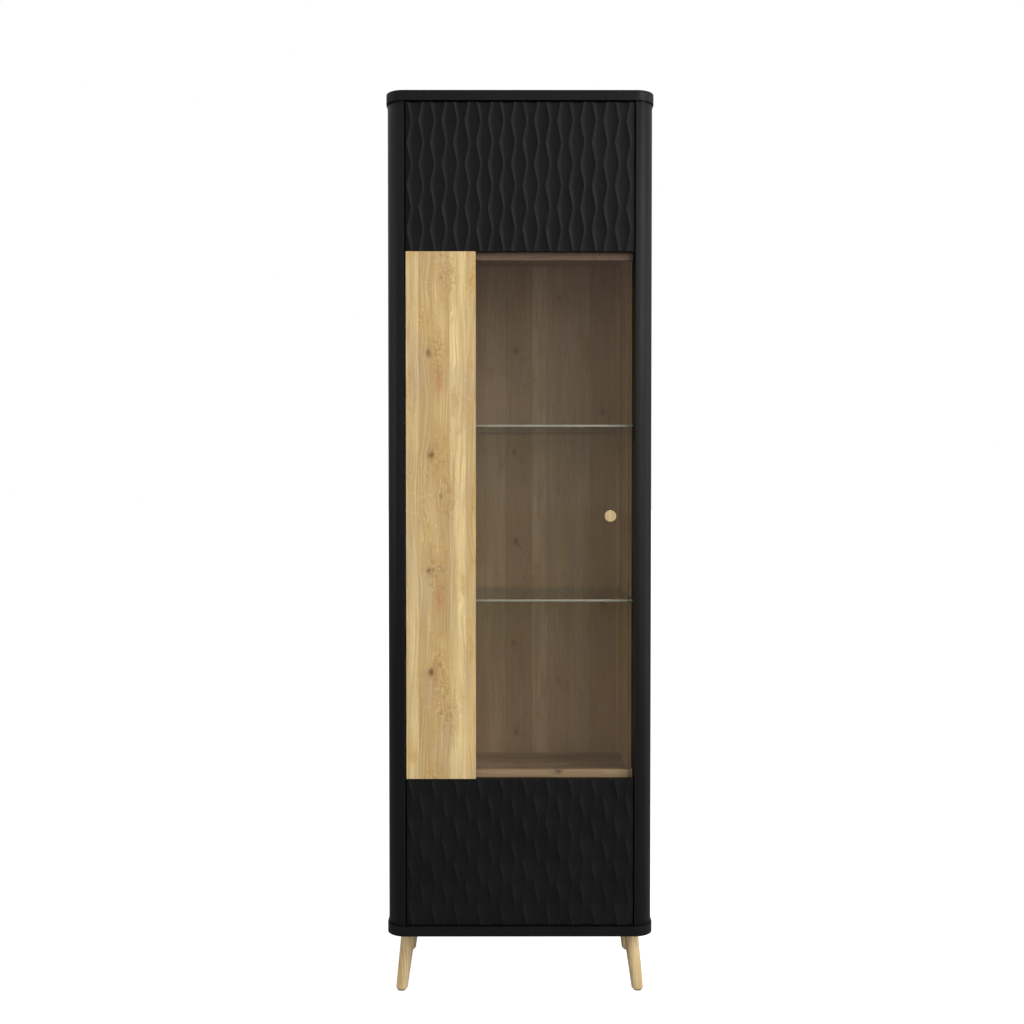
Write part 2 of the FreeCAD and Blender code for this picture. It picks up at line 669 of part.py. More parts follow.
def make_glass_clips():
    """Clips on the strip's back that hold the hidden edge of the pane."""
    clips = []
    screws = []
    back = f"{GLASS_BACK} + dims.clip_thickness"
    for n in range(3):
        height = f"{LOWER_JOINT} + ({UPPER_JOINT} - {LOWER_JOINT}) * {n + 1} / 4"
        bottom = f"{height} - dims.clip_height / 2"
        block = box(f"clip_block_{n}",
                    ("dims.clip_foot + dims.clip_lip", "dims.door_glass_thickness + dims.clip_thickness",
                     "dims.clip_height"),
                    (f"{GLASS_LEFT} - dims.clip_foot", at_depth(DOOR_BACK), bottom))
        seat = box(f"clip_seat_{n}",
                   ("dims.clip_lip + dims.glass_clearance", "dims.door_glass_thickness",
                    "dims.clip_height"),
                   (f"{GLASS_LEFT} - dims.glass_clearance", at_depth(DOOR_BACK), bottom))
        screws.append(wood_screw(f"clip_screw_{n}",
                                 (f"{GLASS_LEFT} - dims.clip_foot / 2", at_depth(back), height),
                                 FORWARD, "dims.plate_screw_length"))
        clips.append(cut(f"clip_{n}", block, [seat, screws[-1]]))
    node("glass_clips", group("glass_clips_group", clips))
    node("glass_clip_screws", group("glass_clip_screws_group", screws))
    return screws


def make_knob():
    """A turned knob in front of the pane, with its screw and washers behind."""
    base = f"({DOOR_BACK} - dims.knob_washer_thickness)"
    length = f"({base} + dims.knob_proud)"
    foot_length = f"({length} - dims.knob_head_thickness) / 2"
    edge = "dims.knob_edge_round"
    stack = [
        # name, lower diameter, upper diameter, length
        ("foot", "dims.knob_base_diameter", "dims.knob_neck_diameter", foot_length),
        ("neck", "dims.knob_neck_diameter", "dims.knob_neck_diameter + dims.knob_flare", foot_length),
        ("under", "dims.knob_neck_diameter + 2 * dims.knob_flare", "dims.knob_diameter", f"2 * {edge}"),
        ("head", "dims.knob_diameter", "dims.knob_diameter", f"dims.knob_head_thickness - 3 * {edge}"),
        ("crown", "dims.knob_diameter", f"dims.knob_diameter - 2 * {edge}", edge),
    ]
    pieces = []
    reach = base
    for name, lower, upper, rise in stack:
        pieces.append(cone(f"knob_{name}", lower, f"{upper} + {TAPER}", rise,
                           (KNOB_X, at_depth(reach), KNOB_Z), FORWARD))
        reach = f"{reach} - ({rise})"
    washer_back = f"({GLASS_BACK} + dims.knob_washer_thickness)"
    shank = cylinder("knob_shank", "dims.knob_screw_diameter",
                     f"{washer_back} - {base} + dims.knob_screw_engagement",
                     (KNOB_X, at_depth(washer_back), KNOB_Z), FORWARD)
    screw_head = cylinder("knob_screw_head", "dims.knob_screw_head_diameter",
                          "dims.knob_screw_head_thickness",
                          (KNOB_X, at_depth(washer_back), KNOB_Z), BACKWARD)
    washers = []
    for n, depth in enumerate((base, GLASS_BACK)):
        disc = cylinder(f"knob_washer_disc_{n}", "dims.knob_washer_diameter",
                        "dims.knob_washer_thickness", (KNOB_X, at_depth(depth), KNOB_Z), BACKWARD)
        washers.append(cut(f"knob_washer_{n}", disc, [shank]))
    node("door_knob", cut("knob_drilled", fuse("knob_turned", pieces), [shank]))
    node("knob_screw", fuse("knob_screw_solid", [shank, screw_head]))
    node("knob_washers", group("knob_washers_group", washers))


def make_bumpers():
    """Soft stops on the shelf edges; the closed door's rails rest against them."""
    heights = (f"{LOWER_SHELF} + dims.fixed_shelf_thickness / 2",
               f"{UPPER_SHELF} + dims.bumper_diameter / 2 + dims.bumper_edge_gap")
    bumpers = [
        cylinder(f"bumper_{n}", "dims.bumper_diameter", "dims.bumper_length",
                 (f"{INNER_HALF} - dims.bumper_inset", at_depth(SHELF_FRONT), height),
                 FORWARD)
        for n, height in enumerate(heights)
    ]
    node("door_bumpers", group("bumpers_group", bumpers))


# --------------------------------------------------------------------- hinges

def cup_bore(name, height):
    return cylinder(name, "dims.hinge_cup_diameter", "dims.hinge_cup_depth",
                    (CUP_X, at_depth(DOOR_BACK), height), FORWARD)


def make_cup_screws(n, height):
    """Two screws per cup, one in each end of its flange."""
    return [
        screw(f"cup_screw_{n}_{end}",
              (CUP_X, at_depth(f"{DOOR_BACK} + dims.hinge_flange_thickness"),
               f"{height} + {sign} * (dims.hinge_flange_length / 2 - dims.hinge_flange_screw_inset)"),
              FORWARD, "dims.hinge_screw_diameter", "dims.hinge_screw_length",
              "dims.hinge_screw_head_diameter", "dims.hinge_flange_thickness")
        for end, sign in (("low", -1), ("high", 1))
    ]


def make_cup(n, height, screws):
    """A pressed cup with a flange that lies on the door's back."""
    flange = box(f"cup_flange_{n}",
                 ("dims.hinge_flange_width", "dims.hinge_flange_thickness",
                  "dims.hinge_flange_length"),
                 (f"{CUP_X} - dims.hinge_flange_width / 2", at_depth(DOOR_BACK),
                  f"{height} - dims.hinge_flange_length / 2"))
    rim = cylinder(f"cup_rim_{n}", "dims.hinge_cup_diameter + dims.hinge_cup_rim", "dims.hinge_flange_thickness",
                   (CUP_X, at_depth(DOOR_BACK), height), BACKWARD)
    hollow = cylinder(f"cup_hollow_{n}", "dims.hinge_cup_diameter - 2 * dims.hinge_cup_wall",
                      "dims.hinge_cup_depth + dims.hinge_flange_thickness - dims.hinge_cup_wall",
                      (CUP_X, at_depth(f"{DOOR_BACK} + dims.hinge_flange_thickness"), height),
                      FORWARD)
    solid = fuse(f"cup_solid_{n}", [cup_bore(f"cup_shell_{n}", height), flange, rim])
    return cut(f"cup_{n}", solid, [hollow] + screws)


def make_mounting_plate(n, height):
    """A plate on the post's inner face; its two screws go into the post."""
    depth = f"{PIVOT_DEPTH} + dims.hinge_arm_length - dims.hinge_plate_length"
    plate = box(f"hinge_plate_blank_{n}",
                (PLATE_STANDOFF, "dims.hinge_plate_length", "dims.hinge_plate_width"),
                (f"-{INNER_HALF}", at_depth(depth), f"{height} - dims.hinge_plate_width / 2"))
    screws = [
        screw(f"hinge_plate_screw_{n}_{end}",
              (f"-{INNER_HALF} + {PLATE_STANDOFF}",
               at_depth(f"{depth} + dims.hinge_plate_length * {HINGE_SCREW_SHARE}"),
               f"{height} + {sign} * (dims.hinge_plate_width / 2 - dims.hinge_plate_screw_inset)"),
              LEFTWARD, "dims.hinge_screw_diameter",
              f"{PLATE_STANDOFF} + dims.hinge_screw_length",
              "dims.hinge_screw_head_diameter", "dims.hinge_flange_thickness")
        for end, sign in (("low", -1), ("high", 1))
    ]
    return cut(f"hinge_plate_{n}", plate, screws), screws


def make_arm(n, height):
    """An arm with a rounded, slotted nose that carries the link on a pin."""
    left = f"{PIVOT_X} - dims.hinge_arm_thickness / 2"
    bottom = f"{height} - dims.hinge_arm_height / 2"
    bar = box(f"hinge_arm_bar_{n}",
              ("dims.hinge_arm_thickness", "dims.hinge_arm_length", "dims.hinge_arm_height"),
              (left, at_depth(PIVOT_DEPTH), bottom))
    nose = cylinder(f"hinge_arm_nose_{n}", "dims.hinge_arm_thickness", "dims.hinge_arm_height",
                    (PIVOT_X, at_depth(PIVOT_DEPTH), bottom))
    slot_height = "(dims.hinge_link_height + 2 * dims.hinge_slot_clearance)"
    slot_width = "(dims.hinge_arm_thickness + 2 * dims.hinge_slot_overcut)"
    slot = box(f"hinge_arm_slot_{n}",
               (slot_width, slot_width, slot_height),
               (f"{left} - dims.hinge_slot_overcut",
                at_depth(f"{PIVOT_DEPTH} - {slot_width} / 2"),
                f"{height} - {slot_height} / 2"))
    pin = cylinder(f"hinge_pin_{n}", "dims.hinge_pin_diameter", "dims.hinge_arm_height",
                   (PIVOT_X, at_depth(PIVOT_DEPTH), bottom))
    arm = cut(f"hinge_arm_{n}", fuse(f"hinge_arm_solid_{n}", [bar, nose]), [slot, pin])
    return arm, pin


def make_link(n, height):
    """A link whose eye turns on the arm's pin and whose free end lies in the cup."""
    base = f"{height} - dims.hinge_link_height / 2"
    pivot = (PIVOT_X, at_depth(PIVOT_DEPTH), base)
    eye = cylinder(f"hinge_link_eye_{n}", "dims.hinge_arm_thickness - dims.hinge_eye_clearance",
                   "dims.hinge_link_height", pivot)
    half = "dims.hinge_link_thickness / 2"
    turn = FreeCAD.Rotation(FreeCAD.Vector(0, 0, 1), -size("hinge_link_angle"))
    bar = box(f"hinge_link_bar_{n}",
              ("dims.hinge_link_length", "dims.hinge_link_thickness", "dims.hinge_link_height"),
              (f"{PIVOT_X} - {half} * sin(dims.hinge_link_angle * 1 deg)",
               f"{at_depth(PIVOT_DEPTH)} - {half} * cos(dims.hinge_link_angle * 1 deg)", base), turn)
    hole = cylinder(f"hinge_link_hole_{n}",
                    "dims.hinge_pin_diameter + 2 * dims.hinge_pin_clearance",
                    "dims.hinge_link_height", pivot)
    return cut(f"hinge_link_{n}", fuse(f"hinge_link_solid_{n}", [eye, bar]), [hole])


def make_hinges():
    """Concealed hinges: cups in the door, arms on the left post and a link in each."""
    cups = []
    cup_screws = []
    plates = []
    plate_screws = []
    arms = []
    pins = []
    links = []
    for n, height in enumerate(HINGE_HEIGHTS):
        cup_screws.append(make_cup_screws(n, height))
        cups.append(make_cup(n, height, cup_screws[n]))
        plate, screws = make_mounting_plate(n, height)
        plates.append(plate)
        plate_screws += screws
        arm, pin = make_arm(n, height)
        arms.append(arm)
        pins.append(pin)
        links.append(make_link(n, height))
    node("hinge_cups", group("hinge_cups_group", cups))
    node("hinge_cup_screws", group("hinge_cup_screws_group", flat(cup_screws)))
    node("hinge_mounting_plates", group("hinge_plates_group", plates))
    node("hinge_plate_screws", group("hinge_plate_screws_group", plate_screws))
    node("hinge_arms", group("hinge_arms_group", arms))
    node("hinge_pins", group("hinge_pins_group", pins))
    node("hinge_links", group("hinge_links_group", links))
    bores = [cup_bore(f"cup_bore_{n}", height) for n, height in enumerate(HINGE_HEIGHTS)]
    door_holes = [[bore] + screws for bore, screws in zip(bores, cup_screws)]
    return door_holes, plate_screws


# --------------------------------------------------------------- wall bracket

def make_wall_bracket():
    """A plate screwed through the back panel into the upper shelf.

    A wall screw passes through the hole that the plate and the back panel share.
    """
    back = f"({CARCASS_BACK} + dims.back_panel_thickness)"
    middle = f"({UPPER_SHELF} + dims.fixed_shelf_thickness / 2)"
    plate = box("bracket_plate",
                ("dims.bracket_width", "dims.bracket_thickness", "dims.bracket_height"),
                ("-dims.bracket_width / 2", at_depth(back), f"{middle} - dims.bracket_foot"))
    hole = cylinder("bracket_hole", "dims.bracket_hole_diameter",
                    "dims.bracket_thickness + dims.back_panel_thickness",
                    ("0", at_depth(CARCASS_BACK), f"{middle} + dims.bracket_hole_rise"), BACKWARD)
    screws = [
        wood_screw(f"bracket_screw_{n}",
                   (f"{sign} * dims.bracket_width / 4",
                    at_depth(f"{back} + dims.bracket_thickness"), middle),
                   FORWARD, "dims.rail_screw_length")
        for n, sign in enumerate((-1, 1))
    ]
    node("wall_bracket", cut("bracket_cut", plate, [hole] + screws))
    node("wall_bracket_screws", group("bracket_screws_group", screws))
    return hole, screws


# ------------------------------------------------------------------- assembly

def flat(rows):
    """All members of a list or a dictionary of lists."""
    lists = rows.values() if isinstance(rows, dict) else rows
    return [member for members in lists for member in members]


def build_carcass(hinge_plate_screws):
    dowels = make_dowels()
    post_dowels = make_post_dowels()
    bottom_confirmats = make_bottom_confirmats()
    shelf_confirmats = make_shelf_confirmats()
    cams, cam_bolts = make_cams()
    nails = make_nails()
    leg_fasteners = make_legs()
    bracket_hole, bracket_screws = make_wall_bracket()
    lower_glass = f"({LOWER_SHELF_TOP} + dims.glass_shelf_rise)"
    upper_glass = f"({lower_glass} + dims.glass_shelf_spacing)"
    pins = {level: make_shelf_pins(level, bottom)
            for level, bottom in (("lower", lower_glass), ("upper", upper_glass))}

    make_cap("top_panel", SIDES_TOP,
             dowels["top", "left"] + dowels["top", "right"] + flat(cam_bolts))
    make_cap("bottom_panel", "dims.leg_height",
             dowels["bottom", "left"] + dowels["bottom", "right"] + flat(bottom_confirmats)
             + leg_fasteners)
    for side, _, _, _ in SIDES:
        post_side = dowels["top", side][:2] + dowels["bottom", side][:2] + post_dowels[side]
        hinge_side = hinge_plate_screws if side == "left" else []
        make_post(side, post_side + hinge_side)
        make_outer_side(side, dowels["top", side][2:] + dowels["bottom", side][2:])
        make_inner_side(side, post_dowels[side] + bottom_confirmats[side] + cams[side]
                        + cam_bolts[side] + nails[side] + shelf_confirmats["lower", side]
                        + shelf_confirmats["upper", side] + pins["lower"][side]
                        + pins["upper"][side])
    for level, bottom in (("lower", LOWER_SHELF), ("upper", UPPER_SHELF)):
        shelf_screws = shelf_confirmats[level, "left"] + shelf_confirmats[level, "right"]
        extra = bracket_screws if level == "upper" else []
        make_fixed_shelf(level, bottom, shelf_screws + nails[level] + extra)
    make_back_panel(flat(nails) + [bracket_hole] + bracket_screws)
    make_glass_shelf("lower", lower_glass)
    make_glass_shelf("upper", upper_glass)

    for level in ("lower", "upper"):
        node(f"shelf_pins_{level}", group(f"shelf_pins_{level}_group", flat(pins[level])))
    node("wooden_dowels", group("dowels_group", flat(dowels) + flat(post_dowels)))
    node("confirmat_screws", group("confirmats_group", flat(bottom_confirmats)
                                   + flat(shelf_confirmats)))
    node("cam_locks", group("cams_group", flat(cams)))
    node("cam_bolts", group("cam_bolts_group", flat(cam_bolts)))
    node("back_panel_nails", group("nails_group", flat(nails)))


def build_door(door_holes):
    rail_screws = make_rail_screws()
    clip_screws = make_glass_clips()
    lowest, low_middle, high_middle, highest = door_holes
    make_carved_panel("lower", DOOR_BOTTOM, lowest + rail_screws["lower", "carved"])
    make_carved_panel("upper", UPPER_JOINT, highest + rail_screws["upper", "carved"])
    make_oak_strip(low_middle + high_middle + clip_screws + rail_screws["lower", "strip"]
                   + rail_screws["upper", "strip"])
    make_door_glass()
    for level in ("lower", "upper"):
        make_door_rail(level, rail_screws[level, "carved"] + rail_screws[level, "strip"])
    node("door_rail_screws", group("rail_screws_group", flat(rail_screws)))
    make_knob()
    make_bumpers()


def check_and_export():
    """Stop if any feature failed; otherwise write one file per finished piece."""
    DOC.recompute()
    failed = [obj.Name for obj in DOC.Objects
              if "Invalid" in obj.State or "Error" in obj.State]
    if failed:
        raise RuntimeError(f"failed features: {failed}")
    for name, obj in NODES.items():
        if obj.Shape.isNull() or not obj.Shape.isValid() or not obj.Shape.Solids:
            raise RuntimeError(f"bad shape: {name}")
    os.makedirs("parts", exist_ok=True)
    for name, obj in NODES.items():
        obj.Shape.exportStep(os.path.join("parts", f"{name}.step"))
    print(f"{len(NODES)} nodes, {sum(len(obj.Shape.Solids) for obj in NODES.values())} solids")


door_bores, post_screws = make_hinges()
build_carcass(post_screws)
build_door(door_bores)
check_and_export()
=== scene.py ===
"""The looks of the tall display cabinet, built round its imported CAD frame.

Everything is in metres in the CAD frame: the front faces -Y, X runs to the viewer's
right and Z up from the floor. The CAD gives every piece its place. This script gives
each one its finish, and swaps the two flat door panels for carved ones.
"""

import math

import bmesh
import bpy
from mathutils import Euler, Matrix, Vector

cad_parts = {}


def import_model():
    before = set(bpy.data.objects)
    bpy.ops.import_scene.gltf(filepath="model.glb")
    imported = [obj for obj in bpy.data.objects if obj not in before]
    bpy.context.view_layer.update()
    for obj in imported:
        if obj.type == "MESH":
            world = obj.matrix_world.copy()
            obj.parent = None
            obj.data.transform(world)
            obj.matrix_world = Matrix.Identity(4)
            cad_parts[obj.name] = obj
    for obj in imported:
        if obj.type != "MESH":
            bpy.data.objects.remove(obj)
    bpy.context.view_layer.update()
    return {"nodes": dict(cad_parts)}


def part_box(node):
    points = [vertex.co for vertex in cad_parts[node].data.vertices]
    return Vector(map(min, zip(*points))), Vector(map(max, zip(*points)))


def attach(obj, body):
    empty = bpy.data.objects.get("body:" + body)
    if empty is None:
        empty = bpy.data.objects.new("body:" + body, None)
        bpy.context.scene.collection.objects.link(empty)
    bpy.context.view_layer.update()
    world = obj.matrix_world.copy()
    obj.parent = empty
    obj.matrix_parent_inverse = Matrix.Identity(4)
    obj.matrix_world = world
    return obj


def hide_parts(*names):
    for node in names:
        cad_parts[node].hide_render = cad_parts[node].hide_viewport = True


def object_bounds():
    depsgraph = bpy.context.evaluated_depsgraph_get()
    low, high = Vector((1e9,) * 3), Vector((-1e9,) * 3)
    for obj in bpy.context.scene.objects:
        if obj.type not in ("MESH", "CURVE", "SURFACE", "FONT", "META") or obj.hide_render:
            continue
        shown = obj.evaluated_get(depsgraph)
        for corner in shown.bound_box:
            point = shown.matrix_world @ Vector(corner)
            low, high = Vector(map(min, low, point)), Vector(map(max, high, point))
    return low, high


# Carved door panels: sharp wavy crests with hollow flutes between them.
CREST_PITCH = 0.0256
FIRST_CREST = 0.0076  # from the door's left edge to the first crest's mean line
CREST_SWING = 0.0043  # each way from the mean line
CREST_PERIOD = 0.096  # one whole wave down a crest
FIRST_SWING = 0.041  # from the panel's top edge down to the first swing to the right
CREST_BEND = 0.93  # 0 is a sine, near 1 a zigzag
FLUTE_DEPTH = 0.0041  # where the flute is widest
FLUTE_SQUARENESS = 3.0  # 2 is a round hollow; more makes steeper sides and a flatter floor
CARVED_SKIN = 0.0070  # thickness of the carved front layer; the hinge cups start behind it
FLUTE_COLUMNS = 14  # points across each flute
ROW_STEP = 0.003  # at most this far between the rows of points down the carving

# Printed oak: boards of a glued panel side by side, repeated along and across the grain.
BOARD_EDGES = (0.0, 0.047, 0.116, 0.152, 0.212, 0.262, 0.330, 0.372)
PRINT_WIDTH = 0.455
PRINT_LENGTH = 0.4856
LINE_PITCH = 0.0072  # between the dark lines of one year's growth and the next
STRIP_ON_PRINT = 0.020  # where the door strip's left edge falls on the print

# Softened edges, by what the piece is made of.
BOARD_EDGE = 0.0008
CAP_EDGE = 0.0015
GLASS_EDGE = 0.0006
# the width of the pane's greener band of painted reflection, which softens no edge
PAINTED_BEVEL_WIDTH = 0.0085
METAL_EDGE = 0.0003
KNOB_EDGE = 0.0006
SOFTENED_FROM = math.radians(35)  # only corners sharper than this are softened
SAME_PLACE = 0.00001  # points nearer to each other than this are one

# The camera: a long lens a little above the middle, almost square to the front.
LENS = 40.5
SENSOR = 36.0
CAMERA_PLACE = (-0.0225, -2.7535, 1.1545)
LOOKS_DOWN = 0.0200  # radians
LOOKS_RIGHT = 0.0018  # radians

# Softboxes: place, what each is aimed at (from the cabinet's middle depth), width and
# height, power.
SOFTBOXES = {
    "key": ((2.3, -2.4, 3.3), (0.1, 0.0, 1.4), (1.6, 1.6), 53.0),
    "front_right": ((1.6, -3.6, 1.7), (0.0, 0.0, 1.1), (1.3, 2.4), 29.0),
    "front_left": ((-1.6, -3.4, 1.6), (0.2, 0.0, 1.1), (1.3, 2.4), 12.0),
    "right_edge": ((2.35, -1.75, 1.7), (0.27, -0.15, 1.2), (0.32, 3.0), 30.0),
    "right_side": ((2.8, 0.0, 1.4), (0.27, -0.15, 1.1), (0.8, 3.0), 24.0),
    "left_edge": ((-2.6, -0.6, 1.6), (-0.3, 0.0, 1.2), (0.8, 2.2), 12.0),
}

# Fill light from all round, stronger from above. It grows between two heights, which are
# a direction's upward share: 0 is level and 1 straight up.
FILL_GROWS_FROM = 0.10
FILL_GROWS_TO = 0.65
FILL_LOW = 0.42
FILL_HIGH = 0.90
FLOOR_HALF = 60.0
FLOOR_GLOW = 0.92  # what the camera sees of the floor before any light falls on it

WHITE = (1.0, 1.0, 1.0, 1.0)


def grey(value):
    """An RGBA grey of that linear value."""
    return (value, value, value, 1.0)


def rgb(red, green, blue):
    """An RGBA colour from linear values."""
    return (red, green, blue, 1.0)


class Graph:
    """One material's node tree, filled in by short calls that return output sockets."""

    def __init__(self, name):
        self.material = bpy.data.materials.new(name)
        self.material.use_nodes = True
        self.nodes = self.material.node_tree.nodes
        self.links = self.material.node_tree.links
        self.nodes.clear()
        self.place = self.node("TexCoord", {}, output="Object")

    def node(self, kind, inputs, output=0, **settings):
        """A shader node with linked or plain inputs; gives back one of its outputs."""
        made = self.nodes.new("ShaderNode" + kind)
        for name, value in settings.items():
            setattr(made, name, value)
        for socket, value in inputs.items():
            if isinstance(value, bpy.types.NodeSocket):
                self.links.new(value, made.inputs[socket])
            else:
                made.inputs[socket].default_value = value
        return made.outputs[output]

    def math(self, operation, *values):
        return self.node("Math", dict(enumerate(values)), operation=operation)

    def add(self, *values):
        total = values[0]
        for value in values[1:]:
            total = self.math("ADD", total, value)
        return total

    def times(self, *values):
        product = values[0]
        for value in values[1:]:
            product = self.math("MULTIPLY", product, value)
        return product

    def split(self, vector):
        """The x, y and z of a vector as separate sockets."""
        parts = self.nodes.new("ShaderNodeSeparateXYZ")
        self.links.new(vector, parts.inputs[0])
        return dict(zip("xyz", parts.outputs))

    def axes(self):
        """The x, y and z of the place on the piece."""
        return self.split(self.place)

    def facing(self):
        """The x, y and z of the piece's own normal."""
        return self.split(self.node("TexCoord", {}, output="Normal"))

    def point(self, x, y, z):
        return self.node("CombineXYZ", {0: x, 1: y, 2: z})

    def stretched(self, x_scale, y_scale, z_scale):
        """The place with each axis scaled on its own, for noise that is drawn out."""
        axis = self.axes()
        return self.point(
            self.times(axis["x"], x_scale),
            self.times(axis["y"], y_scale),
            self.times(axis["z"], z_scale),
        )

    def noise(self, vector, scale=1.0, detail=2.0, roughness=0.5):
        inputs = {"Vector": vector, "Scale": scale, "Detail": detail, "Roughness": roughness}
        return self.node("TexNoise", inputs)

    def steps(self, factor, stops):
        """Flat colours, each from its (place, colour) stop up to the next."""
        made = self.nodes.new("ShaderNodeValToRGB")
        made.color_ramp.interpolation = "CONSTANT"
        points = made.color_ramp.elements
        while len(points) < len(stops):
            points.new(0.5)
        for element, (place, colour) in zip(points, stops):
            element.position = place
            element.color = colour
        self.links.new(factor, made.inputs[0])
        return made.outputs[0]

    def between(self, value, low, high, to_low=0.0, to_high=1.0):
        """value carried from low..high to to_low..to_high, and held there."""
        inputs = {0: value, 1: low, 2: high, 3: to_low, 4: to_high}
        return self.node("MapRange", inputs, clamp=True)

    def mix(self, factor, first, second, blend="MIX"):
        inputs = {0: factor, 6: first, 7: second}
        return self.node("Mix", inputs, output=2, data_type="RGBA", blend_type=blend)

    def bump(self, height, distance):
        return self.node("Bump", {"Height": height, "Distance": distance})

    def principled(self, inputs):
        return self.node("BsdfPrincipled", inputs)

    def finish(self, surface):
        output = self.nodes.new("ShaderNodeOutputMaterial")
        self.links.new(surface, output.inputs["Surface"])
        return self.material


# ---------------------------------------------------------------- black surfaces


FOIL_DARK = rgb(0.003784, 0.003828, 0.003960)
FOIL_LIGHT = rgb(0.005016, 0.005016, 0.005060)
CARVED_DARK = rgb(0.0045, 0.0047, 0.0049)
CARVED_LIGHT = rgb(0.0068, 0.0070, 0.0072)


def black_foil():
    """Matt black foil on MDF: a fine embossed grain, faint smears and soft sheen."""
    g = Graph("black_foil")
    emboss = g.noise(g.place, scale=2600.0, roughness=0.6)
    cloud = g.noise(g.place, scale=9.0, detail=3.0)
    streak = g.noise(g.stretched(260.0, 260.0, 6.0))
    shade = g.between(g.add(cloud, g.times(streak, 0.5)), 0.45, 1.05)
    rubbed = g.add(cloud, g.times(emboss, 0.35))
    return g.finish(
        g.principled(
            {
                "Base Color": g.mix(shade, FOIL_DARK, FOIL_LIGHT),
                "Roughness": g.between(rubbed, 0.4, 0.95, 0.40, 0.50),
                "Specular IOR Level": 0.14,
                "Normal": g.bump(g.add(emboss, g.times(streak, 0.25)), 0.00004),
            }
        )
    )


def carved_black():
    """Black lacquered carving: satin, with the cutter's faint ripples along each flute."""
    g = Graph("carved_black_lacquer")
    ripple = g.noise(g.stretched(180.0, 1.0, 420.0), detail=1.0)
    grain = g.noise(g.stretched(900.0, 900.0, 40.0))
    cloud = g.noise(g.place, scale=14.0, detail=3.0)
    shade = g.between(g.add(cloud, g.times(grain, 0.4)), 0.4, 0.95)
    height = g.add(g.times(ripple, 0.5), g.times(grain, 0.6))
    return g.finish(
        g.principled(
            {
                "Base Color": g.mix(shade, CARVED_DARK, CARVED_LIGHT),
                "Roughness": g.between(cloud, 0.35, 0.7, 0.46, 0.54),
                "Specular IOR Level": 0.09,
                "Normal": g.bump(height, 0.00006),
            }
        )
    )


# ---------------------------------------------------------------- oak

# Tone of each board on the print, and how far its grain is shifted from its neighbour's.
BOARD_TONES = (
    rgb(0.660, 0.492, 0.236),
    rgb(0.505, 0.345, 0.142),
    rgb(0.745, 0.572, 0.278),
    rgb(0.600, 0.430, 0.196),
    rgb(0.640, 0.470, 0.235),
    rgb(0.545, 0.375, 0.172),
    rgb(0.690, 0.515, 0.260),
    rgb(0.590, 0.420, 0.205),
)
BOARD_SHIFTS = (0.05, 0.62, 0.31, 0.87, 0.18, 0.49, 0.95, 0.74)

# Knots on the print: place across, place along, half width, half length, darkness.
KNOTS = (
    (0.0703, 0.0010, 0.0070, 0.0100, 0.75),
    (0.0760, 0.2593, 0.0080, 0.0110, 1.00),
    (0.0981, 0.1672, 0.0045, 0.0070, 0.45),
    (0.1830, 0.3900, 0.0060, 0.0100, 0.50),
    (0.2960, 0.1050, 0.0075, 0.0115, 0.75),
    (0.4200, 0.2400, 0.0060, 0.0090, 0.50),
)
# How fast a knot's core, halo and push on the grain fade from its middle.
CORE_FADES = -2.0
HALO_FADES = -0.55
PUSH_FADES = -0.22
HALO_SHARE = 0.20  # the halo's darkness as a share of the core's
PUSH_STRENGTH = -0.60
KNOT_RAGGED = (0.010, -0.014)  # how far its outline strays, across and along

# A reddish stain beside one knot: place across, place along, half width, half length, strength.
STAIN = (0.0930, 0.4270, 0.0095, 0.0340, 0.90)

# Curly, browner grain to the right of each knot.
FIGURE_SIDE = 0.018
FIGURE_HALF_WIDTH = 0.020
FIGURE_HALF_LENGTH = 0.052

# A calmed print is carried towards its boards' mean tone, a little darkened: painted shade for
# the dimmer, flatter look of the boards inside the cabinet.
MEAN_TONE = rgb(0.60, 0.44, 0.235)
MEAN_SHARE = 0.6
CALM_PAINTED_SHADE = rgb(0.88, 0.86, 0.84)

# Noise fields of the print: fineness across the grain and along it, how much one board's
# differs from the next one's, and detail. These lie straight on the boards.
STRAIGHT_FIELDS = {
    "ragged": (95.0, 70.0, 0.0, 2.0),
    "sway": (9.0, 2.4, 9.0, 2.0),
    "curl": (36.0, 14.0, 17.0, 2.0),
    "curled": (15.0, 3.3, 29.0, 2.0),
    "fade": (30.0, 6.0, 31.0, 2.0),
    "broad": (46.0, 2.6, 13.0, 2.0),
    "hue": (12.0, 5.5, 23.0, 2.0),
    "blotch": (26.0, 10.0, 3.0, 3.0),
    "flecks": (95.0, 190.0, 7.0, 2.0),
    "crack": (75.0, 48.0, 19.0, 3.0),
}
# These follow the wavy grain.
WAVY_FIELDS = {
    "uneven": (85.0, 1.6, 11.0, 2.0),
    "fibre": (560.0, 13.0, 5.0, 3.0),
    "streaks": (330.0, 5.5, 41.0, 4.0),
    "pores": (1500.0, 48.0, 1.0, 1.0),
}
SWAY = 0.046  # how far the grain wanders
CURL = 0.030  # how much further it wanders where it curls
LINE_UNEVENNESS = 9.0
LINE_SHARPNESS = 5.0
LINE_SHIFT = 20.0
CRACK_HALF_WIDTH = 0.040  # about the noise's middle value

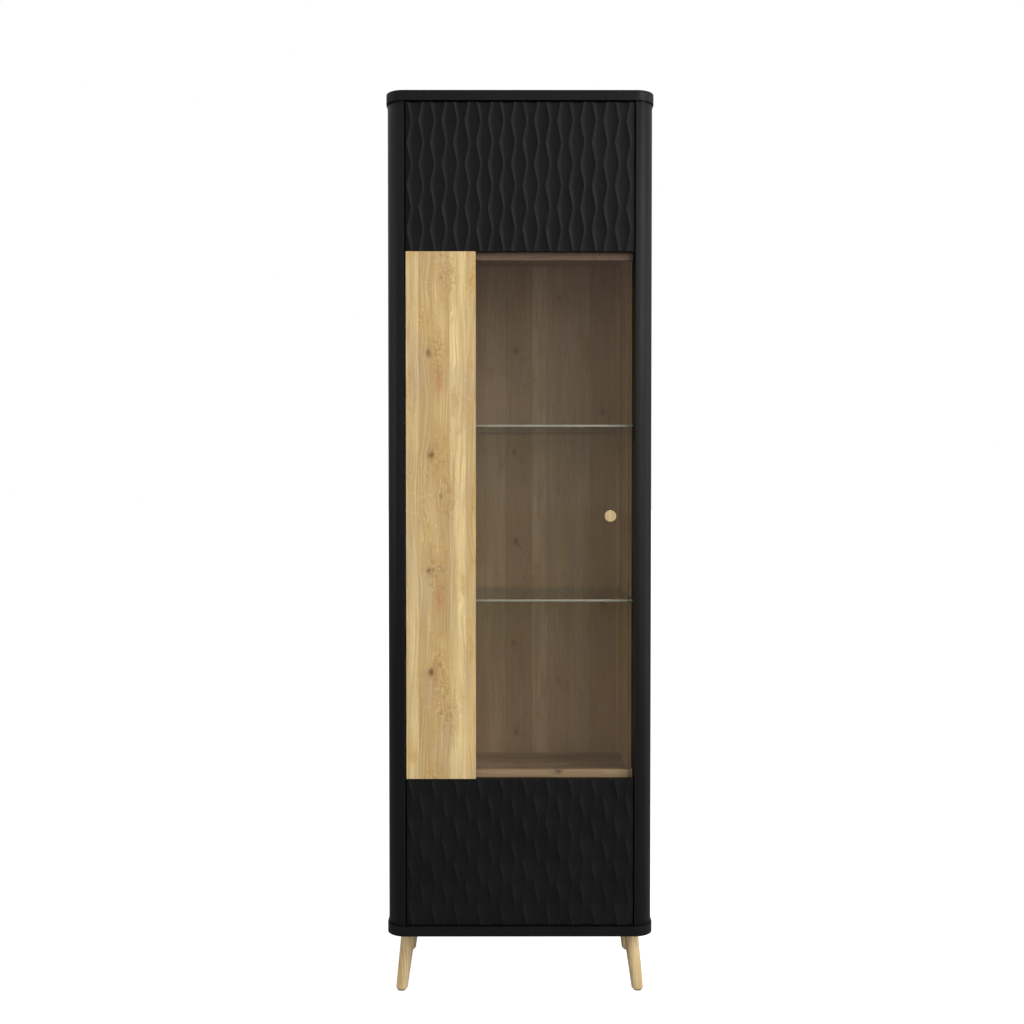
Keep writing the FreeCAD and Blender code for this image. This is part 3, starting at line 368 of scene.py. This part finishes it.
# Colours laid over each board's tone, in this order: the field that guides one, the field's
# values where the colour starts and where it is full, its full strength, and the colour.
OAK_LAYERS = (
    ("hue", 0.50, 0.68, 0.50, rgb(0.70, 0.52, 0.215)),
    ("hue", 0.48, 0.34, 0.50, rgb(0.52, 0.385, 0.245)),
    ("broad", 0.42, 0.66, 0.60, rgb(0.43, 0.290, 0.125)),
    ("streaks", 0.50, 0.70, 0.60, rgb(0.36, 0.232, 0.092)),
    ("streaks", 0.46, 0.26, 0.34, rgb(0.80, 0.63, 0.32)),
    ("stain", 0.0, 1.0, 1.0, rgb(0.42, 0.200, 0.075)),
    ("fibre", 0.35, 0.75, 0.36, rgb(0.34, 0.225, 0.100)),
    ("blotch", 0.52, 0.70, 0.55, rgb(0.50, 0.315, 0.105)),
    ("line", 0.0, 1.0, 0.30, rgb(0.290, 0.180, 0.078)),
    ("curly", 0.0, 1.0, 0.60, rgb(0.47, 0.290, 0.086)),
    ("crack", 0.0, 1.0, 0.72, rgb(0.245, 0.130, 0.042)),
    ("flecks", 0.0, 1.0, 0.26, rgb(0.84, 0.74, 0.50)),
    ("pores", 0.0, 1.0, 0.22, rgb(0.16, 0.09, 0.035)),
    ("dark", 0.0, 0.90, 0.90, rgb(0.160, 0.080, 0.028)),
)

# Bare hardboard, from its darker to its paler flakes.
HARDBOARD = (rgb(0.155, 0.088, 0.045), rgb(0.270, 0.165, 0.090))

# What the print is multiplied by on boards that look paler or darker than the door strip:
# painted light on the inner sides, painted shade on the fixed shelves and the upper rail.
SIDE_PAINTED_LIGHT = rgb(1.18, 1.22, 1.30)
SHELF_PAINTED_SHADE = rgb(0.76, 0.76, 0.82)
UPPER_RAIL_PAINTED_SHADE = rgb(0.49, 0.44, 0.44)


def grain_coordinates(g, along, across, sheet, drop):
    """Places on the print: across and along the grain, and the board's own number."""
    axis = g.axes()
    u = g.add(*[axis[a] for a in across], sheet)
    v = g.math("ADD", axis[along], drop)
    u_print = g.math("WRAP", u, PRINT_WIDTH, 0.0)
    v_print = g.math("WRAP", v, PRINT_LENGTH, 0.0)
    board = g.math("DIVIDE", u_print, PRINT_WIDTH)
    return u, v, u_print, v_print, board


def reach_from(g, du, dv, half_width, half_length):
    """How far out of an oval's middle a place is: 0 there, 1 on its outline, squared."""
    ru = g.math("DIVIDE", du, half_width)
    rv = g.math("DIVIDE", dv, half_length)
    return g.add(g.times(ru, ru), g.times(rv, rv))


def fading(g, reach, falloff=-1.0):
    """1 in the middle of an oval, fading outwards."""
    return g.math("EXPONENT", g.times(reach, falloff))


def knot_field(g, u_print, v_print, ragged):
    """How far knots push the grain aside, their darkness, the figure by them, a stain."""
    push = 0.0
    dark = 0.0
    figure = 0.0
    u_print = g.add(u_print, g.times(ragged, KNOT_RAGGED[0]))
    v_print = g.add(v_print, g.times(ragged, KNOT_RAGGED[1]))
    for place_u, place_v, half_width, half_length, darkness in KNOTS:
        du = g.math("SUBTRACT", u_print, place_u)
        dv = g.math("SUBTRACT", v_print, place_v)
        dv = g.math("WRAP", dv, PRINT_LENGTH / 2, -PRINT_LENGTH / 2)
        reach = reach_from(g, du, dv, half_width, half_length)
        core = g.times(fading(g, reach, CORE_FADES), darkness)
        halo = g.times(fading(g, reach, HALO_FADES), darkness * HALO_SHARE)
        dark = g.add(dark, core, halo)
        push = g.add(push, g.times(du, fading(g, reach, PUSH_FADES), PUSH_STRENGTH))
        beside = g.math("SUBTRACT", du, FIGURE_SIDE)
        reach = reach_from(g, beside, dv, FIGURE_HALF_WIDTH, FIGURE_HALF_LENGTH)
        figure = g.add(figure, fading(g, reach))
    place_u, place_v, half_width, half_length, strength = STAIN
    du = g.math("SUBTRACT", u_print, place_u)
    dv = g.math("SUBTRACT", v_print, place_v)
    stain = g.times(fading(g, reach_from(g, du, dv, half_width, half_length)), strength)
    return push, dark, g.math("MINIMUM", figure, 1.0), stain


def noise_fields(g, table, across, along, shift):
    """The noise fields of one table, by name."""
    fields = {}
    for name, (fineness, length_fineness, spread, detail) in table.items():
        place = g.point(
            g.times(across, fineness), g.times(along, length_fineness), g.times(shift, spread)
        )
        fields[name] = g.noise(place, detail=detail)
    return fields


def growth_lines(g, warped, shift, field):
    """Thin dark lines along the grain, unevenly spaced, that come and go."""
    phase = g.add(
        g.times(warped, 2 * math.pi / LINE_PITCH), g.times(field["uneven"], LINE_UNEVENNESS)
    )
    line = g.math("SINE", g.add(phase, g.times(shift, LINE_SHIFT)))
    line = g.math("POWER", g.between(line, -1.0, 1.0), LINE_SHARPNESS)
    return g.times(line, g.between(field["fade"], 0.44, 0.64))


def crack_lines(g, noise):
    """Short curly lines where the noise passes its middle value."""
    off_middle = g.math("ABSOLUTE", g.math("SUBTRACT", noise, 0.5))
    return g.between(off_middle, 0.0, CRACK_HALF_WIDTH, 1.0, 0.0)


def oak_fields(g, u, v, u_print, v_print, shift):
    """Every field that guides a layer of the print's colour, by the names in OAK_LAYERS."""
    field = noise_fields(g, STRAIGHT_FIELDS, u, v, shift)
    ragged = g.math("SUBTRACT", field["ragged"], 0.5)
    push, field["dark"], figure, field["stain"] = knot_field(g, u_print, v_print, ragged)
    curled = g.between(field["curled"], 0.47, 0.60)
    sway = g.times(g.math("SUBTRACT", field["sway"], 0.5), SWAY)
    curl = g.times(g.math("SUBTRACT", field["curl"], 0.5), curled, CURL)
    warped = g.add(u, push, sway, curl)
    field.update(noise_fields(g, WAVY_FIELDS, warped, v, shift))
    patch = g.math("MAXIMUM", g.between(field["blotch"], 0.56, 0.70, 0.0, 0.6), figure)
    field["curly"] = g.times(patch, g.between(field["ragged"], 0.36, 0.62))
    field["crack"] = g.times(crack_lines(g, field["crack"]), patch)
    field["line"] = growth_lines(g, warped, shift, field)
    field["pores"] = g.between(field["pores"], 0.62, 0.74)
    flecks = g.between(field["flecks"], 0.60, 0.74)
    field["flecks"] = g.times(flecks, g.add(0.15, g.times(curled, 0.85)))
    return field


def bare_hardboard(g, colour):
    """The print's colour, changed to bare brown hardboard on faces that look backwards."""
    behind = g.between(g.facing()["y"], 0.5, 0.9)
    flakes = g.noise(g.place, scale=700.0, detail=3.0)
    return g.mix(behind, colour, g.mix(flakes, *HARDBOARD))


def oak_print(name, along, across, sheet, drop=0.0, tint=WHITE, calm=0.0, bare_back=False):
    """Oak decor: glued boards with wavy grain lines, pores, knots and reddish patches.

    along and across name the axes that run along and across the grain. sheet and drop
    shift the piece over the print, and calm evens out its figure and darkens it a little,
    as painted shade for boards inside the cabinet.
    """
    g = Graph(name)
    u, v, u_print, v_print, board = grain_coordinates(g, along, across, sheet, drop)
    places = [edge / PRINT_WIDTH for edge in BOARD_EDGES]
    tone = g.steps(board, list(zip(places, BOARD_TONES)))
    shift = g.steps(board, [(p, grey(s)) for p, s in zip(places, BOARD_SHIFTS)])
    field = oak_fields(g, u, v, u_print, v_print, shift)

    colour = tone
    for guide, start, full, strength, paint in OAK_LAYERS:
        colour = g.mix(g.between(field[guide], start, full, 0.0, strength), colour, paint)
    # Calming is painted shade: the print evened out and a little darkened.
    if calm:
        even = g.mix(MEAN_SHARE, tone, MEAN_TONE)
        colour = g.mix(calm, colour, g.mix(1.0, even, CALM_PAINTED_SHADE, blend="MULTIPLY"))
    # A tint is painted light on the inner sides and painted shade on the shelves and the upper
    # rail.
    if tint != WHITE:
        colour = g.mix(1.0, colour, tint, blend="MULTIPLY")
    if bare_back:
        colour = bare_hardboard(g, colour)

    fibre = field["fibre"]
    pores = field["pores"]
    height = g.add(g.times(fibre, 0.5), g.times(pores, -0.7), g.times(field["line"], -0.5))
    return g.finish(
        g.principled(
            {
                "Base Color": colour,
                "Roughness": g.between(g.add(fibre, pores), 0.3, 1.4, 0.42, 0.58),
                "Specular IOR Level": 0.4,
                "Normal": g.bump(height, 0.00010),
            }
        )
    )


def turned_oak(name, pale):
    """Solid lacquered oak with its grain up the turning; pale brightens or dulls it."""
    g = Graph(name)
    axis = g.axes()
    slow = g.noise(g.stretched(70.0, 70.0, 7.0))
    rings = g.math(
        "SINE", g.add(g.times(axis["x"], 1150.0), g.times(axis["y"], 620.0), g.times(slow, 17.0))
    )
    rings = g.math("POWER", g.between(rings, -1.0, 1.0), 2.0)
    fibre = g.noise(g.stretched(1300.0, 1300.0, 60.0))
    pores = g.between(fibre, 0.60, 0.72)
    light = rgb(0.66 * pale, 0.50 * pale, 0.270 * pale)
    deep = rgb(0.46 * pale, 0.315 * pale, 0.145 * pale)
    colour = g.mix(g.between(slow, 0.35, 0.68), light, deep)
    colour = g.mix(g.times(rings, 0.30), colour, rgb(0.30, 0.19, 0.080))
    colour = g.mix(g.times(pores, 0.35), colour, rgb(0.20, 0.12, 0.050))
    height = g.add(g.times(fibre, 0.6), g.times(pores, -0.8))
    return g.finish(
        g.principled(
            {
                "Base Color": colour,
                "Roughness": g.between(fibre, 0.3, 0.7, 0.36, 0.50),
                "Specular IOR Level": 0.45,
                "Normal": g.bump(height, 0.00008),
            }
        )
    )


def beech():
    """Fluted beech dowel: pale, dry, with short dark flecks."""
    g = Graph("beech_wood")
    flecks = g.between(g.noise(g.place, scale=420.0, detail=1.0), 0.58, 0.68)
    cloud = g.noise(g.place, scale=40.0)
    colour = g.mix(cloud, rgb(0.62, 0.42, 0.25), rgb(0.70, 0.50, 0.32))
    colour = g.mix(g.times(flecks, 0.5), colour, rgb(0.32, 0.17, 0.08))
    return g.finish(
        g.principled({"Base Color": colour, "Roughness": g.between(cloud, 0.3, 0.7, 0.55, 0.7)})
    )


# ---------------------------------------------------------------- glass


# The tint of one face. Light passes two of them on its way through a sheet.
PANE_FACE = rgb(0.878, 0.874, 0.912)
# Through colour of the pane's greener band along its free edge: painted reflection.
PAINTED_BEVEL_REFLECTION = rgb(0.78, 0.81, 0.82)
PANE_RIM = rgb(0.11, 0.14, 0.10)
PANE_MIRROR = 0.022
SHELF_FACE = rgb(0.83, 0.90, 0.83)
SHELF_RIM = rgb(0.50, 0.48, 0.32)
SHELF_MIRROR = 0.04
RIM_BANDS = rgb(0.28, 0.30, 0.20)
BEVEL_BLEND = 0.0005


def sheet_glass(name, through, edge_colour, broad_axis, mirror, painted_bevel_from=None):
    """Flat glass: tinted see-through faces, and edges that show the glass's own colour.

    broad_axis is the axis its two large faces look along. The piece's own normal tells
    face from edge, so the edges stay edges when the door turns. mirror is the share that
    each face reflects when seen square on. From painted_bevel_from on, to the right, the glass
    shows greener: a painted reflection that stands for the glass's green edge as a bevel
    would show it.
    """
    g = Graph(name)
    edge = g.between(g.math("ABSOLUTE", g.facing()[broad_axis]), 0.55, 0.95, 1.0, 0.0)
    smear = g.noise(g.place, scale=14.0)
    # The greener band is painted reflection, for the glass's green edge as a bevel would show
    # it.
    if painted_bevel_from is not None:
        band = g.between(g.axes()["x"], painted_bevel_from, painted_bevel_from + BEVEL_BLEND)
        through = g.mix(band, through, PAINTED_BEVEL_REFLECTION)
    clear = g.node("BsdfTransparent", {"Color": through})
    glossy = g.node(
        "BsdfGlossy",
        {"Color": grey(0.9), "Roughness": g.between(smear, 0.4, 0.7, 0.02, 0.05)},
    )
    grazing = g.node("LayerWeight", {"Blend": 0.5}, output="Facing")
    reflected = g.add(g.times(g.math("POWER", grazing, 5.0), 1.0 - mirror), mirror)
    pane = g.node("MixShader", {0: reflected, 1: clear, 2: glossy})
    bands = g.noise(g.place, scale=60.0, detail=1.0)
    rim = g.principled(
        {
            "Base Color": g.mix(g.times(bands, 0.5), edge_colour, RIM_BANDS),
            "Roughness": 0.30,
            "IOR": 1.35,
        }
    )
    return g.finish(g.node("MixShader", {0: edge, 1: pane, 2: rim}))


# ---------------------------------------------------------------- small parts


DULL_SHARE = 0.78  # how bright a dull patch of metal is, next to the rest


def metal(name, colour, roughness, scratch=900.0, metallic=1.0):
    """Plated, cast or painted metal with fine tumbling scratches and dull patches."""
    g = Graph(name)
    scratches = g.noise(g.place, scale=scratch, detail=3.0, roughness=0.65)
    patch = g.noise(g.place, scale=60.0)
    dull = tuple(c * DULL_SHARE for c in colour[:3]) + (1.0,)
    wear = g.add(g.times(patch, 0.6), g.times(scratches, 0.4))
    return g.finish(
        g.principled(
            {
                "Base Color": g.mix(g.between(wear, 0.38, 0.62), colour, dull),
                "Metallic": metallic,
                "Roughness": g.between(wear, 0.3, 0.7, roughness, roughness + 0.14),
                "Normal": g.bump(scratches, 0.000015),
            }
        )
    )


def plastic(name, colour, roughness, transmission):
    """Moulded plastic with a slightly uneven skin."""
    g = Graph(name)
    skin = g.noise(g.place, scale=1400.0, detail=1.0)
    cloud = g.noise(g.place, scale=120.0)
    paler = tuple(min(1.0, c * 1.12 + 0.01) for c in colour[:3]) + (1.0,)
    return g.finish(
        g.principled(
            {
                "Base Color": g.mix(cloud, colour, paler),
                "Roughness": g.between(cloud, 0.3, 0.7, roughness, roughness + 0.08),
                "IOR": 1.49,
                "Transmission Weight": transmission,
                "Normal": g.bump(skin, 0.00002),
            }
        )
    )


def felt():
    """Grey felt glide."""
    g = Graph("grey_felt")
    fibres = g.noise(g.place, scale=1900.0, detail=3.0, roughness=0.7)
    return g.finish(
        g.principled(
            {
                "Base Color": g.mix(fibres, grey(0.10), grey(0.28)),
                "Roughness": 0.95,
                "Sheen Weight": 0.4,
                "Normal": g.bump(fibres, 0.0004),
            }
        )
    )


# ---------------------------------------------------------------- carved panels


def crest_line(number, drop):
    """How far crest `number` is from the door's left edge, `drop` below the panel's top."""
    turn = 2 * math.pi * (drop - FIRST_SWING) / CREST_PERIOD
    wave = math.asin(CREST_BEND * math.cos(turn)) / math.asin(CREST_BEND)
    side = 1 if number % 2 == 0 else -1
    return FIRST_CREST + number * CREST_PITCH + side * CREST_SWING * wave


def hollow(share):
    """Depth across a flute as a share of its deepest, 0 at both crests."""
    return 1 - abs(2 * share - 1) ** FLUTE_SQUARENESS


def flute_row(width, drop):
    """(across, depth, is a crest) for each point of one row across the carving."""
    points = []
    number = -1
    while crest_line(number, drop) < width:
        left = crest_line(number, drop)
        right = crest_line(number + 1, drop)
        start = max(0.0, -left) / (right - left)
        end = min(1.0, (width - left) / (right - left))
        deepest = FLUTE_DEPTH * (right - left) / (CREST_PITCH + 2 * CREST_SWING)
        for step in range(FLUTE_COLUMNS):
            share = start + (end - start) * step / FLUTE_COLUMNS
            place = left + share * (right - left)
            points.append((place, deepest * hollow(share), step == 0 and number >= 0))
        number += 1
    points.append((width, deepest * hollow(end), False))
    return points


def add_carved_front(mesh, low, high):
    """A closed slab whose front is the carving, between the panel's corners."""
    width = high.x - low.x
    height = high.z - low.z
    rows = math.ceil(height / ROW_STEP)
    back_y = low.y + CARVED_SKIN
    front = []
    crest_columns = set()
    for row in range(rows + 1):
        drop = height * row / rows
        line = flute_row(width, drop)
        crest_columns.update(i for i, point in enumerate(line) if point[2])
        front.append(
            [mesh.verts.new((low.x + x, low.y + depth, high.z - drop)) for x, depth, _ in line]
        )
    back = [
        [mesh.verts.new((vert.co.x, back_y, vert.co.z)) for vert in line]
        for line in (front[0], front[-1])
    ]
    columns = len(front[0])
    for upper, lower in zip(front, front[1:]):
        for i in range(columns - 1):
            face = mesh.faces.new((upper[i], lower[i], lower[i + 1], upper[i + 1]))
            face.smooth = True
    for i in range(columns - 1):
        mesh.faces.new((front[0][i], front[0][i + 1], back[0][i + 1], back[0][i]))
        mesh.faces.new((front[-1][i + 1], front[-1][i], back[1][i], back[1][i + 1]))
    mesh.faces.new([line[0] for line in front] + [back[1][0], back[0][0]])
    mesh.faces.new([line[-1] for line in reversed(front)] + [back[0][-1], back[1][-1]])
    mesh.faces.new(list(reversed(back[0])) + back[1])
    for column in crest_columns:
        for upper, lower in zip(front, front[1:]):
            mesh.edges.get((upper[column], lower[column])).smooth = False


def add_bored_back(mesh, node, cut_y):
    """The CAD panel's rear layer with its hinge cup bores and screw holes."""
    rear = bmesh.new()
    rear.from_mesh(node.data)
    bmesh.ops.remove_doubles(rear, verts=rear.verts, dist=SAME_PLACE)
    everything = rear.verts[:] + rear.edges[:] + rear.faces[:]
    cut = bmesh.ops.bisect_plane(
        rear, geom=everything, plane_co=(0, cut_y, 0), plane_no=(0, 1, 0), clear_inner=True
    )
    open_edges = [e for e in cut["geom_cut"] if isinstance(e, bmesh.types.BMEdge)]
    bmesh.ops.holes_fill(rear, edges=open_edges, sides=0)
    layer = bpy.data.meshes.new("rear_layer")
    rear.to_mesh(layer)
    rear.free()
    mesh.from_mesh(layer)
    bpy.data.meshes.remove(layer)


def carved_panel(name, node_name, nodes, material):
    """A door panel carved in front and bored behind, standing for its flat CAD node."""
    low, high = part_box(node_name)
    mesh = bmesh.new()
    add_bored_back(mesh, nodes[node_name], low.y + CARVED_SKIN)
    add_carved_front(mesh, low, high)
    bmesh.ops.recalc_face_normals(mesh, faces=mesh.faces)
    data = bpy.data.meshes.new(name)
    mesh.to_mesh(data)
    mesh.free()
    data.materials.append(material)
    panel = bpy.data.objects.new(name, data)
    bpy.context.scene.collection.objects.link(panel)
    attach(panel, "door")
    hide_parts(node_name)


# ---------------------------------------------------------------- dressing the frame

BLACK_SIDES = ("front_post_left", "front_post_right", "side_outer_left", "side_outer_right")
LEGS = ("leg_front_left", "leg_front_right", "leg_back_left", "leg_back_right")
HINGE_PARTS = ("hinge_cups", "hinge_arms", "hinge_pins", "hinge_links", "hinge_mounting_plates")
FASTENERS = (
    "door_rail_screws",
    "glass_clip_screws",
    "knob_screw",
    "hinge_cup_screws",
    "hinge_plate_screws",
    "leg_plate_screws",
    "leg_hanger_bolts",
    "wall_bracket_screws",
    "confirmat_screws",
    "cam_bolts",
    "back_panel_nails",
)


def dress(nodes, names, material, edge=0.0, segments=2):
    """Gives CAD nodes a material and, where edge is set, softened edges."""
    for name in names:
        node = nodes[name]
        for place in node.material_slots:
            place.link = "OBJECT"
            place.material = material
        if edge:
            weld = node.modifiers.new("join_corners", "WELD")
            weld.merge_threshold = SAME_PLACE
            bevel = node.modifiers.new("soft_edges", "BEVEL")
            bevel.width = edge
            bevel.segments = segments
            bevel.limit_method = "ANGLE"
            bevel.angle_limit = SOFTENED_FROM
            bevel.harden_normals = True


def front_left_on_print(node_name):
    """The shift that puts a board's front left edge at the start of the print."""
    low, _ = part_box(node_name)
    return -low.x - low.y


def dress_boards(nodes):
    """The black boards, and the ones with the oak print."""
    foil = black_foil()
    dress(nodes, ["top_panel", "bottom_panel"], foil, CAP_EDGE, segments=3)
    dress(nodes, BLACK_SIDES, foil, BOARD_EDGE)

    strip_shift = front_left_on_print("door_oak_strip") + STRIP_ON_PRINT
    strip = oak_print("oak_strip_print", "z", "xy", strip_shift)
    dress(nodes, ["door_oak_strip"], strip, BOARD_EDGE)
    # The back panel's calmed print is painted shade.
    back = oak_print("oak_back_print", "z", "xy", 0.36, 0.21, calm=0.42, bare_back=True)
    dress(nodes, ["back_panel"], back)
    # The inner sides get painted light: a paler, bluer print. Their calm is painted shade.
    left = oak_print("oak_side_print_left", "z", "yx", 0.51, 0.08, SIDE_PAINTED_LIGHT, calm=0.3)
    dress(nodes, ["side_inner_left"], left, BOARD_EDGE)
    right = oak_print("oak_side_print_right", "z", "yx", 0.33, 0.31, SIDE_PAINTED_LIGHT, calm=0.3)
    dress(nodes, ["side_inner_right"], right, BOARD_EDGE)
    # The fixed shelves get painted shade: a darker, bluer print than the door strip's.
    shelf = oak_print("oak_shelf_print", "x", "yz", 0.27, 0.12, SHELF_PAINTED_SHADE)
    dress(nodes, ["fixed_shelf_lower", "fixed_shelf_upper"], shelf, BOARD_EDGE)
    # The upper rail gets painted shade: it is darker than the lower rail, which has the same
    # print.
    upper = oak_print("oak_rail_print_upper", "x", "zy", 0.17, 0.40, UPPER_RAIL_PAINTED_SHADE)
    dress(nodes, ["door_rail_upper"], upper, BOARD_EDGE)
    lower = oak_print("oak_rail_print_lower", "x", "zy", 0.17, 0.40)
    dress(nodes, ["door_rail_lower"], lower, BOARD_EDGE)


def dress_turned_wood(nodes):
    """Legs, knob and dowels."""
    dress(nodes, LEGS, turned_oak("turned_leg_oak", pale=1.10))
    dress(nodes, ["door_knob"], turned_oak("turned_knob_oak", pale=0.86), KNOB_EDGE, segments=3)
    dress(nodes, ["wooden_dowels"], beech())


def dress_glass(nodes):
    """The door's tinted pane, with a greener band of painted reflection along its free edge, and
    the clear shelves.
    """
    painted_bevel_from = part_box("door_glass")[1].x - PAINTED_BEVEL_WIDTH
    tinted = sheet_glass("bronze_glass", PANE_FACE, PANE_RIM, "y", PANE_MIRROR, painted_bevel_from)
    dress(nodes, ["door_glass"], tinted, GLASS_EDGE)
    clear = sheet_glass("clear_glass", SHELF_FACE, SHELF_RIM, "z", SHELF_MIRROR)
    dress(nodes, ["glass_shelf_lower", "glass_shelf_upper"], clear, GLASS_EDGE)


def dress_metal(nodes):
    """Hinges, shelf pins, fasteners and plates."""
    nickel = metal("nickel_plate", rgb(0.66, 0.64, 0.60), 0.20)
    dress(nodes, HINGE_PARTS, nickel, METAL_EDGE)
    brass = metal("dull_brass_plate", rgb(0.52, 0.40, 0.24), 0.50, metallic=0.5)
    dress(nodes, ["shelf_pins_lower", "shelf_pins_upper"], brass, METAL_EDGE)
    dress(nodes, FASTENERS, metal("bright_zinc", rgb(0.60, 0.61, 0.63), 0.28, scratch=1600.0))
    dress(nodes, ["cam_locks"], metal("cast_zinc", rgb(0.42, 0.42, 0.43), 0.42, scratch=500.0))
    painted = metal("black_powder_coat", grey(0.02), 0.45, scratch=2200.0, metallic=0.0)
    dress(nodes, ["leg_plates", "wall_bracket"], painted, METAL_EDGE)


def dress_plastic(nodes):
    """Clips, washers, bumpers and the felt under the legs."""
    clear = plastic("clear_plastic", rgb(0.80, 0.83, 0.82), 0.14, transmission=0.7)
    dress(nodes, ["glass_clips", "knob_washers"], clear, METAL_EDGE)
    soft = plastic("soft_bumper", rgb(0.72, 0.73, 0.72), 0.35, transmission=0.4)
    dress(nodes, ["door_bumpers"], soft)
    dress(nodes, ["leg_glides"], felt())


# ---------------------------------------------------------------- stage


def add_camera():
    """A level camera, but for the small turns down and to the right."""
    camera = bpy.data.cameras.new("camera")
    camera.lens = LENS
    camera.sensor_width = SENSOR
    camera.clip_start = 0.05
    camera.clip_end = 100.0
    holder = bpy.data.objects.new("camera", camera)
    holder.location = CAMERA_PLACE
    holder.rotation_euler = Euler((math.pi / 2 - LOOKS_DOWN, 0.0, -LOOKS_RIGHT), "XYZ")
    bpy.context.scene.collection.objects.link(holder)
    bpy.context.scene.camera = holder


def add_softbox(name, place, target, size, power):
    """A white rectangular area light at place, aimed at target."""
    light = bpy.data.lights.new(name, "AREA")
    light.shape = "RECTANGLE"
    light.size, light.size_y = size
    light.energy = power
    holder = bpy.data.objects.new(name, light)
    holder.location = place
    holder.rotation_euler = (Vector(target) - Vector(place)).to_track_quat("-Z", "Y").to_euler()
    bpy.context.scene.collection.objects.link(holder)


def add_world():
    """An even studio: a white backdrop, and soft light that falls mostly from above."""
    world = bpy.data.worlds.new("studio")
    world.use_nodes = True
    tree = world.node_tree
    tree.nodes.clear()
    seen = tree.nodes.new("ShaderNodeBackground")
    seen.inputs["Color"].default_value = WHITE
    seen.inputs["Strength"].default_value = 1.0
    direction = tree.nodes.new("ShaderNodeTexCoord")
    split = tree.nodes.new("ShaderNodeSeparateXYZ")
    rise = tree.nodes.new("ShaderNodeMapRange")
    rise.inputs["From Min"].default_value = FILL_GROWS_FROM
    rise.inputs["From Max"].default_value = FILL_GROWS_TO
    rise.inputs["To Min"].default_value = FILL_LOW
    rise.inputs["To Max"].default_value = FILL_HIGH
    rise.interpolation_type = "SMOOTHSTEP"
    lit = tree.nodes.new("ShaderNodeBackground")
    lit.inputs["Color"].default_value = WHITE
    path = tree.nodes.new("ShaderNodeLightPath")
    mix = tree.nodes.new("ShaderNodeMixShader")
    output = tree.nodes.new("ShaderNodeOutputWorld")
    tree.links.new(direction.outputs["Generated"], split.inputs[0])
    tree.links.new(split.outputs["Z"], rise.inputs["Value"])
    tree.links.new(rise.outputs[0], lit.inputs["Strength"])
    tree.links.new(path.outputs["Is Camera Ray"], mix.inputs[0])
    tree.links.new(lit.outputs[0], mix.inputs[1])
    tree.links.new(seen.outputs[0], mix.inputs[2])
    tree.links.new(mix.outputs[0], output.inputs["Surface"])
    bpy.context.scene.world = world


def add_floor():
    """A plain pale floor that runs into the white backdrop."""
    data = bpy.data.meshes.new("studio_floor")
    half = FLOOR_HALF
    corners = [(-half, -half, 0), (half, -half, 0), (half, half, 0), (-half, half, 0)]
    data.from_pydata(corners, [], [(0, 1, 2, 3)])
    g = Graph("pale_floor")
    cloud = g.noise(g.place, scale=1.5)
    matt = g.node("BsdfDiffuse", {"Color": g.mix(cloud, grey(0.30), grey(0.32))})
    path = g.node("LightPath", {}, output="Is Camera Ray")
    glow = g.node("Emission", {"Color": WHITE, "Strength": g.times(path, FLOOR_GLOW)})
    data.materials.append(g.finish(g.node("AddShader", {0: matt, 1: glow})))
    floor = bpy.data.objects.new("studio_floor", data)
    bpy.context.scene.collection.objects.link(floor)


def set_stage():
    """Camera, soft light that is strongest from the right, and the floor."""
    add_camera()
    add_world()
    low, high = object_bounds()
    middle = (low + high) / 2
    for name, (place, aim, size, power) in SOFTBOXES.items():
        add_softbox(name, place, (aim[0], middle.y + aim[1], aim[2]), size, power)
    add_floor()
    bpy.context.scene.view_settings.view_transform = "Standard"


def main():
    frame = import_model()
    nodes = frame["nodes"]
    dress_boards(nodes)
    dress_turned_wood(nodes)
    dress_glass(nodes)
    dress_metal(nodes)
    dress_plastic(nodes)
    carved = carved_black()
    carved_panel("carved_panel_upper", "door_panel_upper", nodes, carved)
    carved_panel("carved_panel_lower", "door_panel_lower", nodes, carved)
    set_stage()


main()
